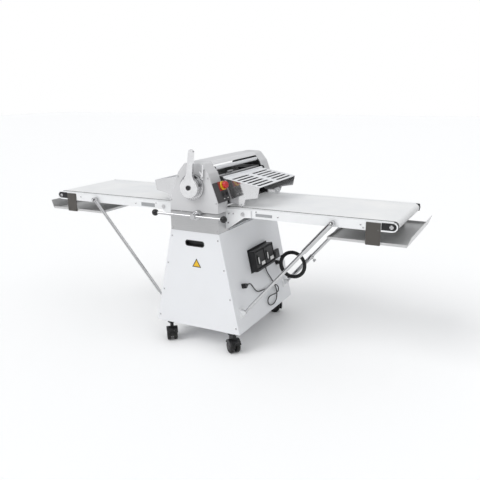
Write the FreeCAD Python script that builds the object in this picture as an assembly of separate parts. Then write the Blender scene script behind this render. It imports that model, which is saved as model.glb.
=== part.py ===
import FreeCAD, Part
import math
import os

V = FreeCAD.Vector
os.makedirs("parts", exist_ok=True)

# ---------------------------------------------------------------- driving sizes (mm)
# X runs along the conveyors, -Y is the operator's side, Z is up, the floor is Z = 0.

# the two sizes that the rest is built round
belt_width = 500.0
belt_top_z = 833.0

# cabinet: a tapered sheet-metal base on four casters
cabinet_bottom_z = 120.0
cabinet_top_z = belt_top_z - 138.0
cabinet_top_half_width = 158.0
cabinet_bottom_half_width = 281.0
cabinet_half_depth = belt_width / 2.0 + 124.0
cabinet_wall = 3.0
panel_thickness = 2.0
panel_flange = 24.0
panel_screw_inset = 15.0
panel_screw_margin = 37.0
panel_screw_rows = 4
screw_head_radius = 5.0
screw_head_height = 2.2
screw_shank_radius = 2.4
screw_shank_length = 9.0
screw_hole_radius = 2.5
grip_width = 118.0
grip_height = 29.0
grip_depth = 22.0
grip_wall = 2.0
grip_z = cabinet_top_z - 69.0

# head: two side plates that carry the rollers, with a column and a housing at each end
side_plate_inner_y = belt_width / 2.0 + 12.0
side_plate_thickness = 8.0
side_plate_half_width = 150.0
head_base_thickness = 6.0
housing_half_width = 156.0
housing_shoulder_z = belt_top_z + 35.0
housing_upper_half_width = 98.0
housing_upper_z = belt_top_z + 191.0
housing_top_half_width = 52.0
housing_top_z = belt_top_z + 247.0
housing_wall = 3.0
housing_corner_radius = 34.0
housing_edge_radius = 5.0
seam_z = belt_top_z - 25.0
seam_gap = 2.0
column_wall = 2.0
hood_half_width = 70.0
hood_side_drop = 16.0
hood_crown_radius = 12.0
hood_thickness = 2.0
hood_lip = 3.0
tie_bar_radius = 11.0
tie_bar_x = 72.0
tie_bar_z = belt_top_z + 207.0

# sheeting rollers
roller_radius = 42.0
roller_wall = 9.0
roller_face = belt_width
shaft_radius = 15.0
running_clearance = 0.05
roller_above_belt = 2.0
roller_gap_at_rest = 19.5
roller_gap_min = 0.5
roller_gap_max = 38.5
bearing_half_width = 22.0
bearing_half_height = 26.0
bearing_thickness = 18.0
slide_clearance = 0.3
scraper_gap = 0.7
scraper_thickness = 2.0
scraper_rod_radius = 8.0
scraper_rod_x = 84.0
scraper_rod_rise = 97.0

# conveyors
belt_thickness = 3.0
belt_roller_radius = 20.5
drive_roller_x = 148.0
end_roller_x = 1078.0
belt_shaft_radius = 8.0
rail_outer_y = belt_width / 2.0 + 35.0
rail_thickness = 3.0
rail_bottom_z = belt_top_z - 50.0
rail_top_z = belt_top_z - 2.0
rail_inner_x = 170.0
rail_flange_inner_y = belt_width / 2.0 + 2.5
bed_half_width = belt_width / 2.0 - 3.0
bed_thickness = 2.0
cross_tube_side = 20.0
cross_tube_places = (300.0, 560.0, 820.0)
fold_x = 262.0
fold_z = belt_top_z - 31.0
fold_pin_radius = 8.0
fold_boss_radius = 16.0
fold_limit = 75.0
rail_window_inner_x = 1022.0
rail_end_radius = 25.0
rail_rim = 4.0
takeup_inner_y = belt_width / 2.0 + 13.0
takeup_thickness = 10.0
bearing_cheek_thickness = 4.0

# gussets that carry the fold pins
gusset_thickness = 4.0
gusset_gap = 2.5
gusset_bottom_z = cabinet_top_z + 16.0
gusset_reach_x = 312.0
gusset_bolt_places = ((176.0, 34.0), (204.0, 32.0), (173.0, 86.0))

# trays under the conveyor ends
tray_inner_x = 745.0
tray_outer_x = 1150.0
tray_lip_x = 1170.0
tray_floor_z = belt_top_z - 117.0
tray_lip_rise = 52.0
tray_sheet = 1.5
tray_half_depth = rail_outer_y - 2.0
tray_side_height = 12.0
bracket_x = (946.0, 1020.0)
bracket_z = (tray_floor_z - 6.0, belt_top_z - 7.0)
bracket_thickness = 3.0
bracket_foot = 35.0
rivet_radius = 3.5
rivet_columns = (960.0, 1006.0)
rivet_depths = (15.0, 35.0, 108.0)

# telescopic struts
strut_y = rail_outer_y + 20.0
strut_pin_x = 776.0
strut_pin_z = belt_top_z - 28.0
strut_foot_standoff = 22.0
strut_foot_z = 235.0
strut_pin_radius = 5.0
strut_tube_radius = 10.0
strut_rod_radius = 7.0
strut_slide_clearance = 0.4
strut_tube_start = 48.0
strut_rod_length = 660.0
strut_eye_radius = 11.0
strut_eye_half_width = 7.0
strut_sleeve_radius = 14.0
strut_sleeve_length = 225.0
strut_end_radius = 15.0
strut_lower_sleeve_radius = 12.5
strut_ear_thickness = 4.0
strut_ear_gap = 0.5
thumb_screw_place = 240.0
collar_radius = 14.0
collar_length = 24.0

# guards over the rollers
guard_hinge_x = 116.0
guard_hinge_z = belt_top_z + 154.0
guard_outer_x = 346.0
guard_outer_z = belt_top_z + 115.0
guard_half_depth = belt_width / 2.0 + 2.0
guard_sheet = 2.0
guard_knuckle_radius = 8.0
guard_pin_radius = 5.0
guard_ear_radius = 13.0
guard_pin_length = 20.0
guard_cheek = ((345.0, 114.0), (334.0, 57.0), (259.0, 43.0), (251.0, 18.0), (146.0, 18.0), (122.0, 39.0))
guard_stop_radius = 17.0
guard_stop_x = 232.0
slot_width = 17.0
slot_count = 6
slot_rows = 2

# thickness lever and its index ring
dial_z = belt_top_z + 117.0
ring_radius = 72.0
ring_thickness = 18.0
drum_radius = 57.0
drum_gap = 3.0
drum_depth = 28.0
lever_length = 208.0
lever_width = 32.0
lever_root_width = 66.0
lever_thickness = 15.0
lever_lean = 6.0
lever_cap_radius = 13.0
dial_shaft_radius = 12.0
stop_lever_x = 64.0
stop_lever_z = dial_z + 53.0
stop_lever_length = 68.0

# reversing handle
handle_x = 32.0
handle_z = belt_top_z - 37.0
handle_rod_y = -cabinet_half_depth - 56.0
handle_rod_radius = 7.5
handle_left_x = -223.0
handle_right_x = 220.0
handle_ball_radius = 19.0
handle_boss_radius = 27.0

# switch box on the sloping wall of the front housing
box_height = 112.0
box_width = 84.0
box_depth = 34.0
box_wall = 3.0
box_y = -cabinet_half_depth + 44.0
box_z = belt_top_z + 86.0
stop_switch_rise = 30.0
push_button_drop = 16.0
push_button_spread = 20.0
mushroom_radius = 19.0
mushroom_stem_radius = 8.0
push_button_radius = 9.0
button_clearance = 0.4

# foot pedals, socket and mains cable on the right end face
pedal_y = (-100.0, 152.0)
pedal_z = (405.0, 529.0)
pedal_depth = 42.0
pedal_wall = 4.0
pedal_plate_thickness = 4.0
pedal_clearance = 1.0
socket_y = (216.0, 290.0)
socket_z = (402.0, 457.0)
socket_depth = 14.0
gland_y = 245.0
gland_z = 376.0
gland_radius = 12.0
gland_length = 20.0
coil_radius = 84.0
coil_bundle_radius = 14.0
pedal_cord_radius = 3.3
connector_y = -230.0
connector_z = 374.0
connector_radius = 11.0

# casters
caster_x = cabinet_bottom_half_width - 73.0
caster_y = cabinet_half_depth - 38.0
wheel_radius = 37.5
wheel_width = 20.0
wheel_gap = 20.0
caster_trail = 26.0
caster_stem_radius = 6.0
caster_plate_half = 34.0
caster_plate_thickness = 4.0
caster_axle_radius = 5.0
caster_headings = {"front_left": 128.0, "front_right": 140.0, "rear_left": 0.0, "rear_right": 8.0}

# drive inside the cabinet
drive_belt_y = side_plate_inner_y + 38.0
motor_z = 250.0
motor_radius = 78.0
motor_half_length = drive_belt_y - 175.0
motor_shaft_radius = 12.0
drive_belt_width = 24.0
pulley_radius = 42.0
motor_pulley_radius = 30.0
drive_belt_thickness = 5.0
drive_gap = 0.3

# ---------------------------------------------------------------- sizes that follow
taper = (cabinet_bottom_half_width - cabinet_top_half_width) / (cabinet_top_z - cabinet_bottom_z)
taper_angle = math.degrees(math.atan(taper))
taper_stretch = math.sqrt(1.0 + taper * taper)
front_y = -cabinet_half_depth - panel_thickness
lower_roller_z = belt_top_z + roller_above_belt - roller_radius
upper_roller_z = lower_roller_z + 2.0 * roller_radius + roller_gap_at_rest
belt_outer_radius = belt_roller_radius + belt_thickness
belt_axis_z = belt_top_z - belt_outer_radius
side_plate_outer_y = side_plate_inner_y + side_plate_thickness
wall_slope = (housing_half_width - housing_upper_half_width) / (housing_upper_z - housing_shoulder_z)
wall_angle = math.degrees(math.atan(wall_slope))
front_reach = -handle_rod_y + handle_ball_radius
rear_reach = -front_y + screw_head_height
origin_shift = V(0.0, (front_reach - rear_reach) / 2.0, 0.0)


def half_width(z):
    """Half the width of the tapered cabinet at a height."""
    return cabinet_top_half_width + (cabinet_top_z - z) * taper


strut_foot_x = half_width(strut_foot_z) + strut_foot_standoff
strut_run = V(strut_pin_x - strut_foot_x, 0.0, strut_pin_z - strut_foot_z)
strut_length = strut_run.Length


# ---------------------------------------------------------------- shape helpers
def box(x0, x1, y0, y1, z0, z1):
    return Part.makeBox(x1 - x0, y1 - y0, z1 - z0, V(x0, y0, z0))


def rod(start, end, radius):
    """A round bar from one point to another."""
    run = end - start
    return Part.makeCylinder(radius, run.Length, start, run)


def along_y(x, z, radius, y0, y1):
    """A round bar parallel to Y."""
    return rod(V(x, y0, z), V(x, y1, z), radius)


def prism_xz(points, y0, y1):
    """A flat outline of (x, z) points, extruded along Y."""
    corners = [V(x, y0, z) for x, z in points]
    face = Part.Face(Part.makePolygon(corners + corners[:1]))
    return face.extrude(V(0.0, y1 - y0, 0.0))


def fuse(*shapes):
    joined = shapes[0].multiFuse(list(shapes[1:]))
    return joined.removeSplitter()


def edges_along(shape, direction, test=lambda middle: True):
    """The straight edges of a shape that run along a direction and pass a test on their middle."""
    found = []
    for edge in shape.Edges:
        if not isinstance(edge.Curve, Part.Line):
            continue
        if abs(abs(edge.Curve.Direction.dot(direction)) - 1.0) > 1e-6:
            continue
        middle = (edge.Vertexes[0].Point + edge.Vertexes[-1].Point) * 0.5
        if test(middle):
            found.append(edge)
    return found


def mirror_x(shape):
    return shape.mirror(V(0.0, 0.0, 0.0), V(1.0, 0.0, 0.0))


def mirror_y(shape):
    return shape.mirror(V(0.0, 0.0, 0.0), V(0.0, 1.0, 0.0))


def both_y(shape):
    """A piece and its twin at the other end of the Y axis."""
    return [shape, mirror_y(shape)]


def save(name, *solids):
    """Move a node's solids to the row's frame and write them."""
    moved = []
    for solid in solids:
        copy = solid.copy()
        copy.translate(origin_shift)
        moved.append(copy)
    shape = moved[0] if len(moved) == 1 else Part.makeCompound(moved)
    shape.exportStep("parts/" + name + ".step")


def screw(point, direction):
    """A pan-head screw whose head sits on a face; direction points out of the face."""
    head = Part.makeCylinder(screw_head_radius, screw_head_height, point, direction)
    shank = Part.makeCylinder(screw_shank_radius, screw_shank_length, point - direction * screw_shank_length, direction)
    return fuse(head, shank)


def screw_hole(point, direction):
    length = 2.0 * screw_shank_length
    return Part.makeCylinder(screw_hole_radius, length, point - direction * screw_shank_length, direction)


# ---------------------------------------------------------------- cabinet
def trapezoid(inset):
    """The cabinet's front outline, drawn in by an inset."""
    low = cabinet_bottom_z + inset
    high = cabinet_top_z - inset
    wide = half_width(low) - inset * taper_stretch
    narrow = half_width(high) - inset * taper_stretch
    return [(-wide, low), (wide, low), (narrow, high), (-narrow, high)]


def panel_screw_points():
    points = []
    low = cabinet_bottom_z + panel_screw_margin
    step = (cabinet_top_z - cabinet_bottom_z - 2.0 * panel_screw_margin) / (panel_screw_rows - 1)
    for row in range(panel_screw_rows):
        z = low + row * step
        x = half_width(z) - panel_screw_inset * taper_stretch
        points.append((x, z))
        points.append((-x, z))
    return points


def drive_slot():
    """The clear space for the drive belt between the cabinet and the rear column."""
    reach = pulley_radius + 3.0 * drive_belt_thickness
    y0 = drive_belt_y - drive_belt_thickness
    y1 = drive_belt_y + drive_belt_width + drive_belt_thickness
    return box(-reach, reach, y0, y1, cabinet_top_z - 20.0, cabinet_top_z + 20.0)


def make_cabinet_shell():
    depth = cabinet_half_depth
    shell = prism_xz(trapezoid(0.0), -depth, depth)
    shell = shell.cut(prism_xz(trapezoid(cabinet_wall), -depth + cabinet_wall, depth - cabinet_wall))
    shell = shell.cut(prism_xz(trapezoid(panel_flange), -depth, depth))
    holes = [screw_hole(V(x, -depth, z), V(0, -1, 0)) for x, z in panel_screw_points()]
    holes += [mirror_y(hole) for hole in holes]
    return shell.cut(Part.makeCompound(holes + [drive_slot()]))


def grip_block(margin, y0, y1):
    """A rounded block the size of the grip's mouth plus a margin."""
    half_w = grip_width / 2.0 + margin
    half_h = grip_height / 2.0 + margin
    block = box(-half_w, half_w, y0, y1, grip_z - half_h, grip_z + half_h)
    radius = half_h * 0.85
    return block.makeFillet(radius, edges_along(block, V(0, 1, 0)))


def make_panel():
    panel = prism_xz(trapezoid(1.0), front_y, -cabinet_half_depth)
    holes = [screw_hole(V(x, front_y, z), V(0, -1, 0)) for x, z in panel_screw_points()]
    return panel.cut(Part.makeCompound(holes + [grip_block(0.0, front_y - 1.0, -cabinet_half_depth + 1.0)]))


def make_grip():
    """A recessed cup with a thin rim that sits on the panel."""
    cup = grip_block(0.0, front_y, front_y + grip_depth)
    rim = grip_block(3.0, front_y - 1.5, front_y)
    hollow = grip_block(-grip_wall, front_y - 2.0, front_y + grip_depth - grip_wall)
    return fuse(cup, rim).cut(hollow)


def panel_screws():
    screws = [screw(V(x, front_y, z), V(0, -1, 0)) for x, z in panel_screw_points()]
    return screws + [mirror_y(one) for one in screws]


# ---------------------------------------------------------------- head
def housing_outline(inset):
    """The tombstone outline of the end housings, drawn in by an inset."""
    half = [
        (housing_half_width - inset, seam_z),
        (housing_half_width - inset, housing_shoulder_z),
        (housing_upper_half_width - inset, housing_upper_z - inset * 0.4),
        (housing_top_half_width - inset * 0.6, housing_top_z - inset),
    ]
    return half + [(-x, z) for x, z in reversed(half)]


def rounded_outline(inset, y0, y1):
    body = prism_xz(housing_outline(inset), y0, y1)
    upper = edges_along(body, V(0, 1, 0), lambda middle: middle.z > housing_shoulder_z + 10.0)
    return body.makeFillet(housing_corner_radius, upper)


def head_screw_points():
    """Screws on the outer face of a housing and of the column below it."""
    upper_z = housing_upper_z - 23.0
    upper_x = housing_upper_half_width + (housing_upper_z - upper_z) * wall_slope - 11.0
    lower_x = housing_half_width - 10.0
    middle_z = housing_shoulder_z - 2.0
    lower_z = cabinet_top_z + 13.0
    return [(upper_x, upper_z), (-upper_x, upper_z), (lower_x, middle_z), (-lower_x, middle_z),
            (lower_x, lower_z), (-lower_x, lower_z)]


def make_housing(front):
    """A deep cover, open towards the side plate and at the bottom."""
    outer = rounded_outline(0.0, front_y, -side_plate_outer_y)
    rim = [edge for edge in outer.Edges if edge.BoundBox.YMax < front_y + 0.01 and edge.BoundBox.ZMax > seam_z + 0.1]
    outer = outer.makeFillet(housing_edge_radius, rim)
    inner = rounded_outline(housing_wall, front_y + housing_wall, -side_plate_outer_y)
    inner_low = box(-housing_half_width + housing_wall, housing_half_width - housing_wall,
                    front_y + housing_wall, -side_plate_outer_y, seam_z - 5.0, seam_z + 10.0)
    shell = outer.cut(inner).cut(inner_low)
    holes = [screw_hole(V(x, front_y, z), V(0, -1, 0)) for x, z in head_screw_points()[:4]]
    if front:
        holes.append(along_y(0.0, dial_z, dial_shaft_radius + running_clearance, front_y - 5.0, front_y + 20.0))
    shell = shell.cut(Part.makeCompound(holes))
    return shell


def make_column(front):
    """The stainless cover of the head's foot: an end wall and two side walls."""
    half = housing_half_width
    top = seam_z - seam_gap
    outer = box(-half, half, front_y, -side_plate_outer_y, cabinet_top_z, top)
    upright = edges_along(outer, V(0, 0, 1), lambda middle: middle.y < front_y + 1.0)
    outer = outer.makeFillet(3.0, upright)
    inner = box(-half + column_wall, half - column_wall, front_y + column_wall, -side_plate_outer_y,
                cabinet_top_z - 1.0, top + 1.0)
    holes = [screw_hole(V(x, front_y, z), V(0, -1, 0)) for x, z in head_screw_points()[4:]]
    if front:
        holes.append(along_y(handle_x, handle_z, dial_shaft_radius + running_clearance, front_y - 5.0, front_y + 20.0))
    return outer.cut(inner).cut(Part.makeCompound(holes))


def side_plate_outline():
    half = [
        (side_plate_half_width, cabinet_top_z),
        (side_plate_half_width, housing_shoulder_z),
        (housing_upper_half_width - 6.0, housing_upper_z - 4.0),
        (housing_top_half_width - 6.0, housing_top_z - 8.0),
    ]
    return half + [(-x, z) for x, z in reversed(half)]


def make_head_frame():
    """Two side plates joined by a base plate and two round bars, with the guards' hinge pins."""
    inner = side_plate_inner_y
    outer = side_plate_outer_y
    plate = prism_xz(side_plate_outline(), -outer, -inner)
    ears = [along_y(x, guard_hinge_z, guard_ear_radius, -outer, -inner) for x in (-guard_hinge_x, guard_hinge_x)]
    bars = [prism_xz([(x * 0.7, guard_hinge_z - 12.0), (x, guard_hinge_z - guard_ear_radius),
                      (x, guard_hinge_z + guard_ear_radius * 0.8), (x * 0.7, guard_hinge_z + 20.0)], -outer, -inner)
            for x in (-guard_hinge_x, guard_hinge_x)]
    pins = [along_y(x, guard_hinge_z, guard_pin_radius, -inner, -inner + guard_pin_length)
            for x in (-guard_hinge_x, guard_hinge_x)]
    plate = fuse(plate, *ears, *bars, *pins)
    half = bearing_half_width + slide_clearance
    low = upper_roller_z - (roller_gap_at_rest - roller_gap_min) - bearing_half_height - slide_clearance
    high = upper_roller_z + (roller_gap_max - roller_gap_at_rest) + bearing_half_height + slide_clearance
    slot = box(-half, half, -outer - 1.0, -inner + 1.0, low, high)
    bore = along_y(0.0, lower_roller_z, shaft_radius + running_clearance, -outer - 1.0, -inner + 1.0)
    plate = plate.cut(slot).cut(bore)
    floor = box(-side_plate_half_width, side_plate_half_width, -inner, inner,
                cabinet_top_z, cabinet_top_z + head_base_thickness)
    ties = [along_y(x, tie_bar_z, tie_bar_radius, -inner - 1.0, inner + 1.0) for x in (-tie_bar_x, tie_bar_x)]
    return fuse(plate, mirror_y(plate), floor, *ties)


def make_hood():
    """The cap between the two housings, with a lip turned down at each side."""
    side_z = housing_top_z - hood_side_drop
    outline = [(hood_half_width, side_z), (housing_top_half_width, housing_top_z),
               (-housing_top_half_width, housing_top_z), (-hood_half_width, side_z)]
    lower = [(-hood_half_width, side_z - hood_lip), (-hood_half_width + hood_thickness, side_z - hood_lip),
             (-hood_half_width + hood_thickness, side_z - 1.0)]
    inner = [(-housing_top_half_width + 1.0, housing_top_z - hood_thickness),
             (housing_top_half_width - 1.0, housing_top_z - hood_thickness)]
    lower_right = [(-x, z) for x, z in reversed(lower)]
    hood = prism_xz(outline + lower + inner + lower_right, -side_plate_outer_y, side_plate_outer_y)
    crown = edges_along(hood, V(0, 1, 0), lambda middle: middle.z > housing_top_z - 0.1)
    return hood.makeFillet(hood_crown_radius, crown)


def head_screws():
    screws = [screw(V(x, front_y, z), V(0, -1, 0)) for x, z in head_screw_points()]
    return screws + [mirror_y(one) for one in screws]


# ---------------------------------------------------------------- sheeting rollers
def roller(z, shaft_front, shaft_rear):
    half = roller_face / 2.0
    body = along_y(0.0, z, roller_radius, -half, half)
    edge = [one for one in body.Edges if isinstance(one.Curve, Part.Circle)]
    body = body.makeFillet(1.5, edge)
    hollow = along_y(0.0, z, roller_radius - roller_wall, -half + 20.0, half - 20.0)
    shaft = along_y(0.0, z, shaft_radius, -shaft_front, shaft_rear)
    return fuse(body.cut(hollow), shaft)


def make_bearing():
    inner = side_plate_inner_y - 4.0
    block = box(-bearing_half_width, bearing_half_width, -inner - bearing_thickness, -inner,
                upper_roller_z - bearing_half_height, upper_roller_z + bearing_half_height)
    bore = along_y(0.0, upper_roller_z, shaft_radius + running_clearance, -inner - bearing_thickness - 1.0, -inner + 1.0)
    return block.cut(bore)


def make_upper_scraper():
    """Two blades on round rods between end arms that sit on the bearing blocks."""
    inner = side_plate_inner_y - 4.0
    arm_y = inner - 4.0
    z = upper_roller_z
    top = z + scraper_rod_rise
    reach = scraper_rod_x
    outline = [(-26.0, z - 22.0), (26.0, z - 22.0), (30.0, z + 30.0), (reach + 12.0, top - 8.0), (reach + 9.0, top + 10.0),
               (-reach - 9.0, top + 10.0), (-reach - 12.0, top - 8.0), (-30.0, z + 30.0)]
    arm = prism_xz(outline, -inner, -arm_y)
    window = prism_xz([(-12.0, z + 42.0), (12.0, z + 42.0), (reach - 24.0, top - 12.0), (24.0 - reach, top - 12.0)],
                      -inner - 1.0, -arm_y + 1.0)
    arm = arm.cut(window).cut(along_y(0.0, z, shaft_radius + 1.0, -inner - 1.0, -arm_y + 1.0))
    edge_angle = math.radians(38.0)
    reach_in = roller_radius + scraper_gap
    edge_x = reach_in * math.cos(edge_angle)
    edge_z = z + reach_in * math.sin(edge_angle)
    pieces = [arm, mirror_y(arm)]
    for side in (1.0, -1.0):
        blade = prism_xz([(side * edge_x, edge_z), (side * reach, top), (side * (reach + 2.5), top - 1.0),
                          (side * (edge_x + 2.5), edge_z - 0.5)], -arm_y, arm_y)
        pieces.append(blade)
        pieces.append(along_y(side * reach, top, scraper_rod_radius, -arm_y, arm_y))
    grip_y = -arm_y + 90.0
    foot_one = V(scraper_rod_x, grip_y, top)
    foot_two = V(scraper_rod_x, grip_y + 60.0, top)
    lift = V(16.0, 0.0, 20.0)
    pieces.append(rod(foot_one, foot_one + lift, 3.0))
    pieces.append(rod(foot_two, foot_two + lift, 3.0))
    pieces.append(rod(foot_one + lift - V(0, 4.0, 0), foot_two + lift + V(0, 4.0, 0), 3.5))
    return fuse(*pieces)


def make_lower_scraper():
    """A plate from the lower roller's skin to the start of the belt; it also carries the dough across."""
    edge_angle = math.radians(50.0)
    reach_in = roller_radius + scraper_gap
    start_x = reach_in * math.cos(edge_angle)
    start_z = lower_roller_z + reach_in * math.sin(edge_angle)
    end_x = drive_roller_x - belt_outer_radius - 2.5
    end_z = belt_top_z - 1.5
    return prism_xz([(start_x, start_z), (end_x, end_z), (end_x, end_z - scraper_thickness),
                     (start_x + 2.5, start_z - scraper_thickness)], -side_plate_inner_y, side_plate_inner_y)


# ---------------------------------------------------------------- drive
def loop(z_low, radius_low, z_high, radius_high, y0, y1):
    """The solid inside a belt that runs round two pulleys, one above the other."""
    reach = z_high - z_low
    lean = math.asin((radius_high - radius_low) / reach)
    flat = [(radius_low * math.cos(lean), z_low - radius_low * math.sin(lean)),
            (radius_high * math.cos(lean), z_high - radius_high * math.sin(lean))]
    sides = prism_xz(flat + [(-x, z) for x, z in reversed(flat)], y0, y1)
    return fuse(sides, along_y(0.0, z_low, radius_low, y0, y1), along_y(0.0, z_high, radius_high, y0, y1))


def make_drive_belt():
    y1 = drive_belt_y + drive_belt_width
    grow = drive_gap + drive_belt_thickness
    outer = loop(motor_z, motor_pulley_radius + grow, lower_roller_z, pulley_radius + grow, drive_belt_y, y1)
    inner = loop(motor_z, motor_pulley_radius + drive_gap, lower_roller_z, pulley_radius + drive_gap,
                 drive_belt_y - 1.0, y1 + 1.0)
    return outer.cut(inner)


def make_motor():
    """A geared motor on a foot, with its shaft towards the rear."""
    floor = cabinet_bottom_z + cabinet_wall
    barrel = along_y(0.0, motor_z, motor_radius, -motor_half_length, motor_half_length)
    gearbox = box(-70.0, 70.0, motor_half_length, motor_half_length + 110.0, motor_z - 70.0, motor_z + 70.0)
    foot = box(-100.0, 100.0, -90.0, 90.0, floor, floor + 10.0)
    web = box(-60.0, 60.0, -80.0, 80.0, floor, motor_z - 40.0)
    bore = along_y(0.0, motor_z, motor_shaft_radius + running_clearance, motor_half_length + 50.0, motor_half_length + 120.0)
    return fuse(barrel, gearbox, foot, web).cut(bore)


def make_motor_pulley():
    y0 = drive_belt_y
    y1 = drive_belt_y + drive_belt_width
    wheel = along_y(0.0, motor_z, motor_pulley_radius, y0, y1)
    return fuse(wheel, along_y(0.0, motor_z, motor_shaft_radius, motor_half_length + 52.0, y1))


# ---------------------------------------------------------------- thickness dial
def make_index_ring():
    ring = along_y(0.0, dial_z, ring_radius, front_y - ring_thickness, front_y)
    front = [one for one in ring.Edges if isinstance(one.Curve, Part.Circle) and one.Curve.Center.y < front_y - 1.0]
    ring = ring.makeFillet(3.0, front)
    return ring.cut(along_y(0.0, dial_z, dial_shaft_radius + running_clearance, front_y - ring_thickness - 1.0, front_y + 1.0))


def make_thickness_lever():
    """A polished drum and lever in one casting, on a shaft through the index ring."""
    drum_back = front_y - ring_thickness - drum_gap
    drum_front = drum_back - drum_depth
    drum = along_y(0.0, dial_z, drum_radius, drum_front, drum_back)
    rims = [one for one in drum.Edges if isinstance(one.Curve, Part.Circle) and one.Curve.Center.y < drum_back - 1.0]
    drum = drum.makeFillet(3.0, rims)
    half = lever_width / 2.0
    root = lever_root_width / 2.0
    tip = dial_z + lever_length
    blade = prism_xz([(-root, dial_z + drum_radius * 0.72), (root, dial_z + drum_radius * 0.72),
                      (half * 1.15, dial_z + drum_radius * 1.28), (half * 0.92, tip), (-half * 0.92, tip),
                      (-half * 1.15, dial_z + drum_radius * 1.28)], drum_front, drum_front + lever_thickness)
    tips = edges_along(blade, V(0, 1, 0), lambda middle: middle.z > tip - 1.0)
    blade = blade.makeFillet(half * 0.85, tips)
    blade.rotate(V(0.0, 0.0, dial_z), V(0, 1, 0), lever_lean)
    shaft = along_y(0.0, dial_z, dial_shaft_radius, drum_back - 1.0, -side_plate_outer_y - 12.0)
    casting = fuse(drum, blade, shaft)
    cap = along_y(0.0, dial_z, lever_cap_radius, drum_front - 3.0, drum_front)
    return casting, cap


def make_stop_lever():
    """A small latch beside the ring, on its own stud, with a catch towards the lever."""
    y0 = front_y - 12.0
    y1 = front_y - 4.0
    x = stop_lever_x
    z = stop_lever_z
    blade = prism_xz([(x - 7.0, z - 6.0), (x + 7.0, z - 6.0), (x + 9.0, z + stop_lever_length * 0.5),
                      (x + 13.0, z + stop_lever_length), (x + 4.0, z + stop_lever_length + 4.0),
                      (x + 1.0, z + stop_lever_length * 0.5)], y0, y1)
    catch = prism_xz([(x - 2.0, z + 12.0), (x - 18.0, z + 34.0), (x - 14.0, z + 38.0), (x + 3.0, z + 20.0)], y0, y1)
    hub = along_y(x, z, 10.0, y0, front_y - 0.5)
    return fuse(blade, catch, hub).cut(along_y(x, z, 4.0 + running_clearance, y0 - 1.0, front_y))


def make_stop_stud():
    return fuse(along_y(stop_lever_x, stop_lever_z, 4.0, front_y - 12.5, front_y),
                along_y(stop_lever_x, stop_lever_z, 7.0, front_y - 15.0, front_y - 12.5))


# ---------------------------------------------------------------- reversing handle
def make_ball(x, inward):
    """A ball with a blind hole for the end of the bar; inward is the side that the bar comes from."""
    radius = handle_ball_radius
    mouth = math.sqrt(radius * radius - handle_rod_radius * handle_rod_radius)

    def at(along, up):
        return V(x + inward * along, handle_rod_y, handle_z + up)

    skin = Part.Arc(at(mouth, handle_rod_radius), at(0.0, radius), at(-radius, 0.0)).toShape()
    straight = Part.makePolygon([at(-radius, 0.0), at(6.0, 0.0), at(6.0, handle_rod_radius), at(mouth, handle_rod_radius)])
    outline = Part.Wire(Part.__sortEdges__([skin] + straight.Edges))
    return Part.Face(outline).revolve(V(x, handle_rod_y, handle_z), V(1, 0, 0), 360.0)


def make_reversing_handle():
    back = front_y - 0.5
    boss = along_y(handle_x, handle_z, handle_boss_radius, front_y - 34.0, back)
    rims = [one for one in boss.Edges if isinstance(one.Curve, Part.Circle)]
    boss = boss.makeFillet(3.0, rims)
    neck = along_y(handle_x, handle_z, 15.0, handle_rod_y - 14.0, front_y - 30.0)
    shaft = along_y(handle_x, handle_z, dial_shaft_radius, front_y - 2.0, front_y + 30.0)
    bar = rod(V(handle_left_x + 6.0, handle_rod_y, handle_z), V(handle_right_x - 6.0, handle_rod_y, handle_z),
              handle_rod_radius)
    body = fuse(boss, neck, shaft, bar)
    return [body, make_ball(handle_left_x, 1.0), make_ball(handle_right_x, -1.0)]


# ---------------------------------------------------------------- switch box
def place_on_wall(shape):
    """Turn a shape built upright at the origin onto the sloping wall of the front housing."""
    x = housing_half_width - (box_z - housing_shoulder_z) * wall_slope
    placed = shape.copy()
    placed.rotate(V(0, 0, 0), V(0, 1, 0), -wall_angle)
    placed.translate(V(x, box_y, box_z))
    return placed


def along_x(y, z, radius, x0, x1):
    return rod(V(x0, y, z), V(x1, y, z), radius)


def make_switch_box():
    half_w = box_width / 2.0
    half_h = box_height / 2.0
    body = box(0.0, box_depth, -half_w, half_w, -half_h, half_h)
    front = [edge for edge in body.Edges if edge.BoundBox.XMin > box_depth - 0.01]
    body = body.makeFillet(4.0, front)
    body = body.cut(box(box_wall, box_depth - box_wall, -half_w + box_wall, half_w - box_wall,
                        -half_h + box_wall, half_h - box_wall))
    holes = [along_x(0.0, stop_switch_rise, mushroom_stem_radius + button_clearance, box_depth - 10.0, box_depth + 30.0)]
    for y in (-push_button_spread, push_button_spread):
        holes.append(along_x(y, -push_button_drop, push_button_radius + button_clearance, box_depth - 10.0, box_depth + 30.0))
    collar = along_x(0.0, stop_switch_rise, mushroom_radius + 4.0, box_depth, box_depth + 8.0)
    bezels = [along_x(y, -push_button_drop, push_button_radius + 4.0, box_depth, box_depth + 3.0)
              for y in (-push_button_spread, push_button_spread)]
    cutter = Part.makeCompound(holes)
    return [place_on_wall(one.cut(cutter)) for one in [body, collar] + bezels]


def make_emergency_button():
    stem = along_x(0.0, stop_switch_rise, mushroom_stem_radius, box_depth - 8.0, box_depth + 16.0)
    cap = along_x(0.0, stop_switch_rise, mushroom_radius, box_depth + 14.0, box_depth + 32.0)
    rims = [one for one in cap.Edges if isinstance(one.Curve, Part.Circle) and one.Curve.Center.x > box_depth + 20.0]
    cap = cap.makeFillet(6.0, rims)
    return place_on_wall(fuse(stem, cap))


def make_push_button(y):
    return place_on_wall(along_x(y, -push_button_drop, push_button_radius, box_depth - 8.0, box_depth + 6.0))


# ---------------------------------------------------------------- pieces on the end face
def face_point(y, z, out):
    """A point at a height on the end face and a distance out of it."""
    return V(half_width(z) + out / taper_stretch, y, z + out * taper / taper_stretch)


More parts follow.
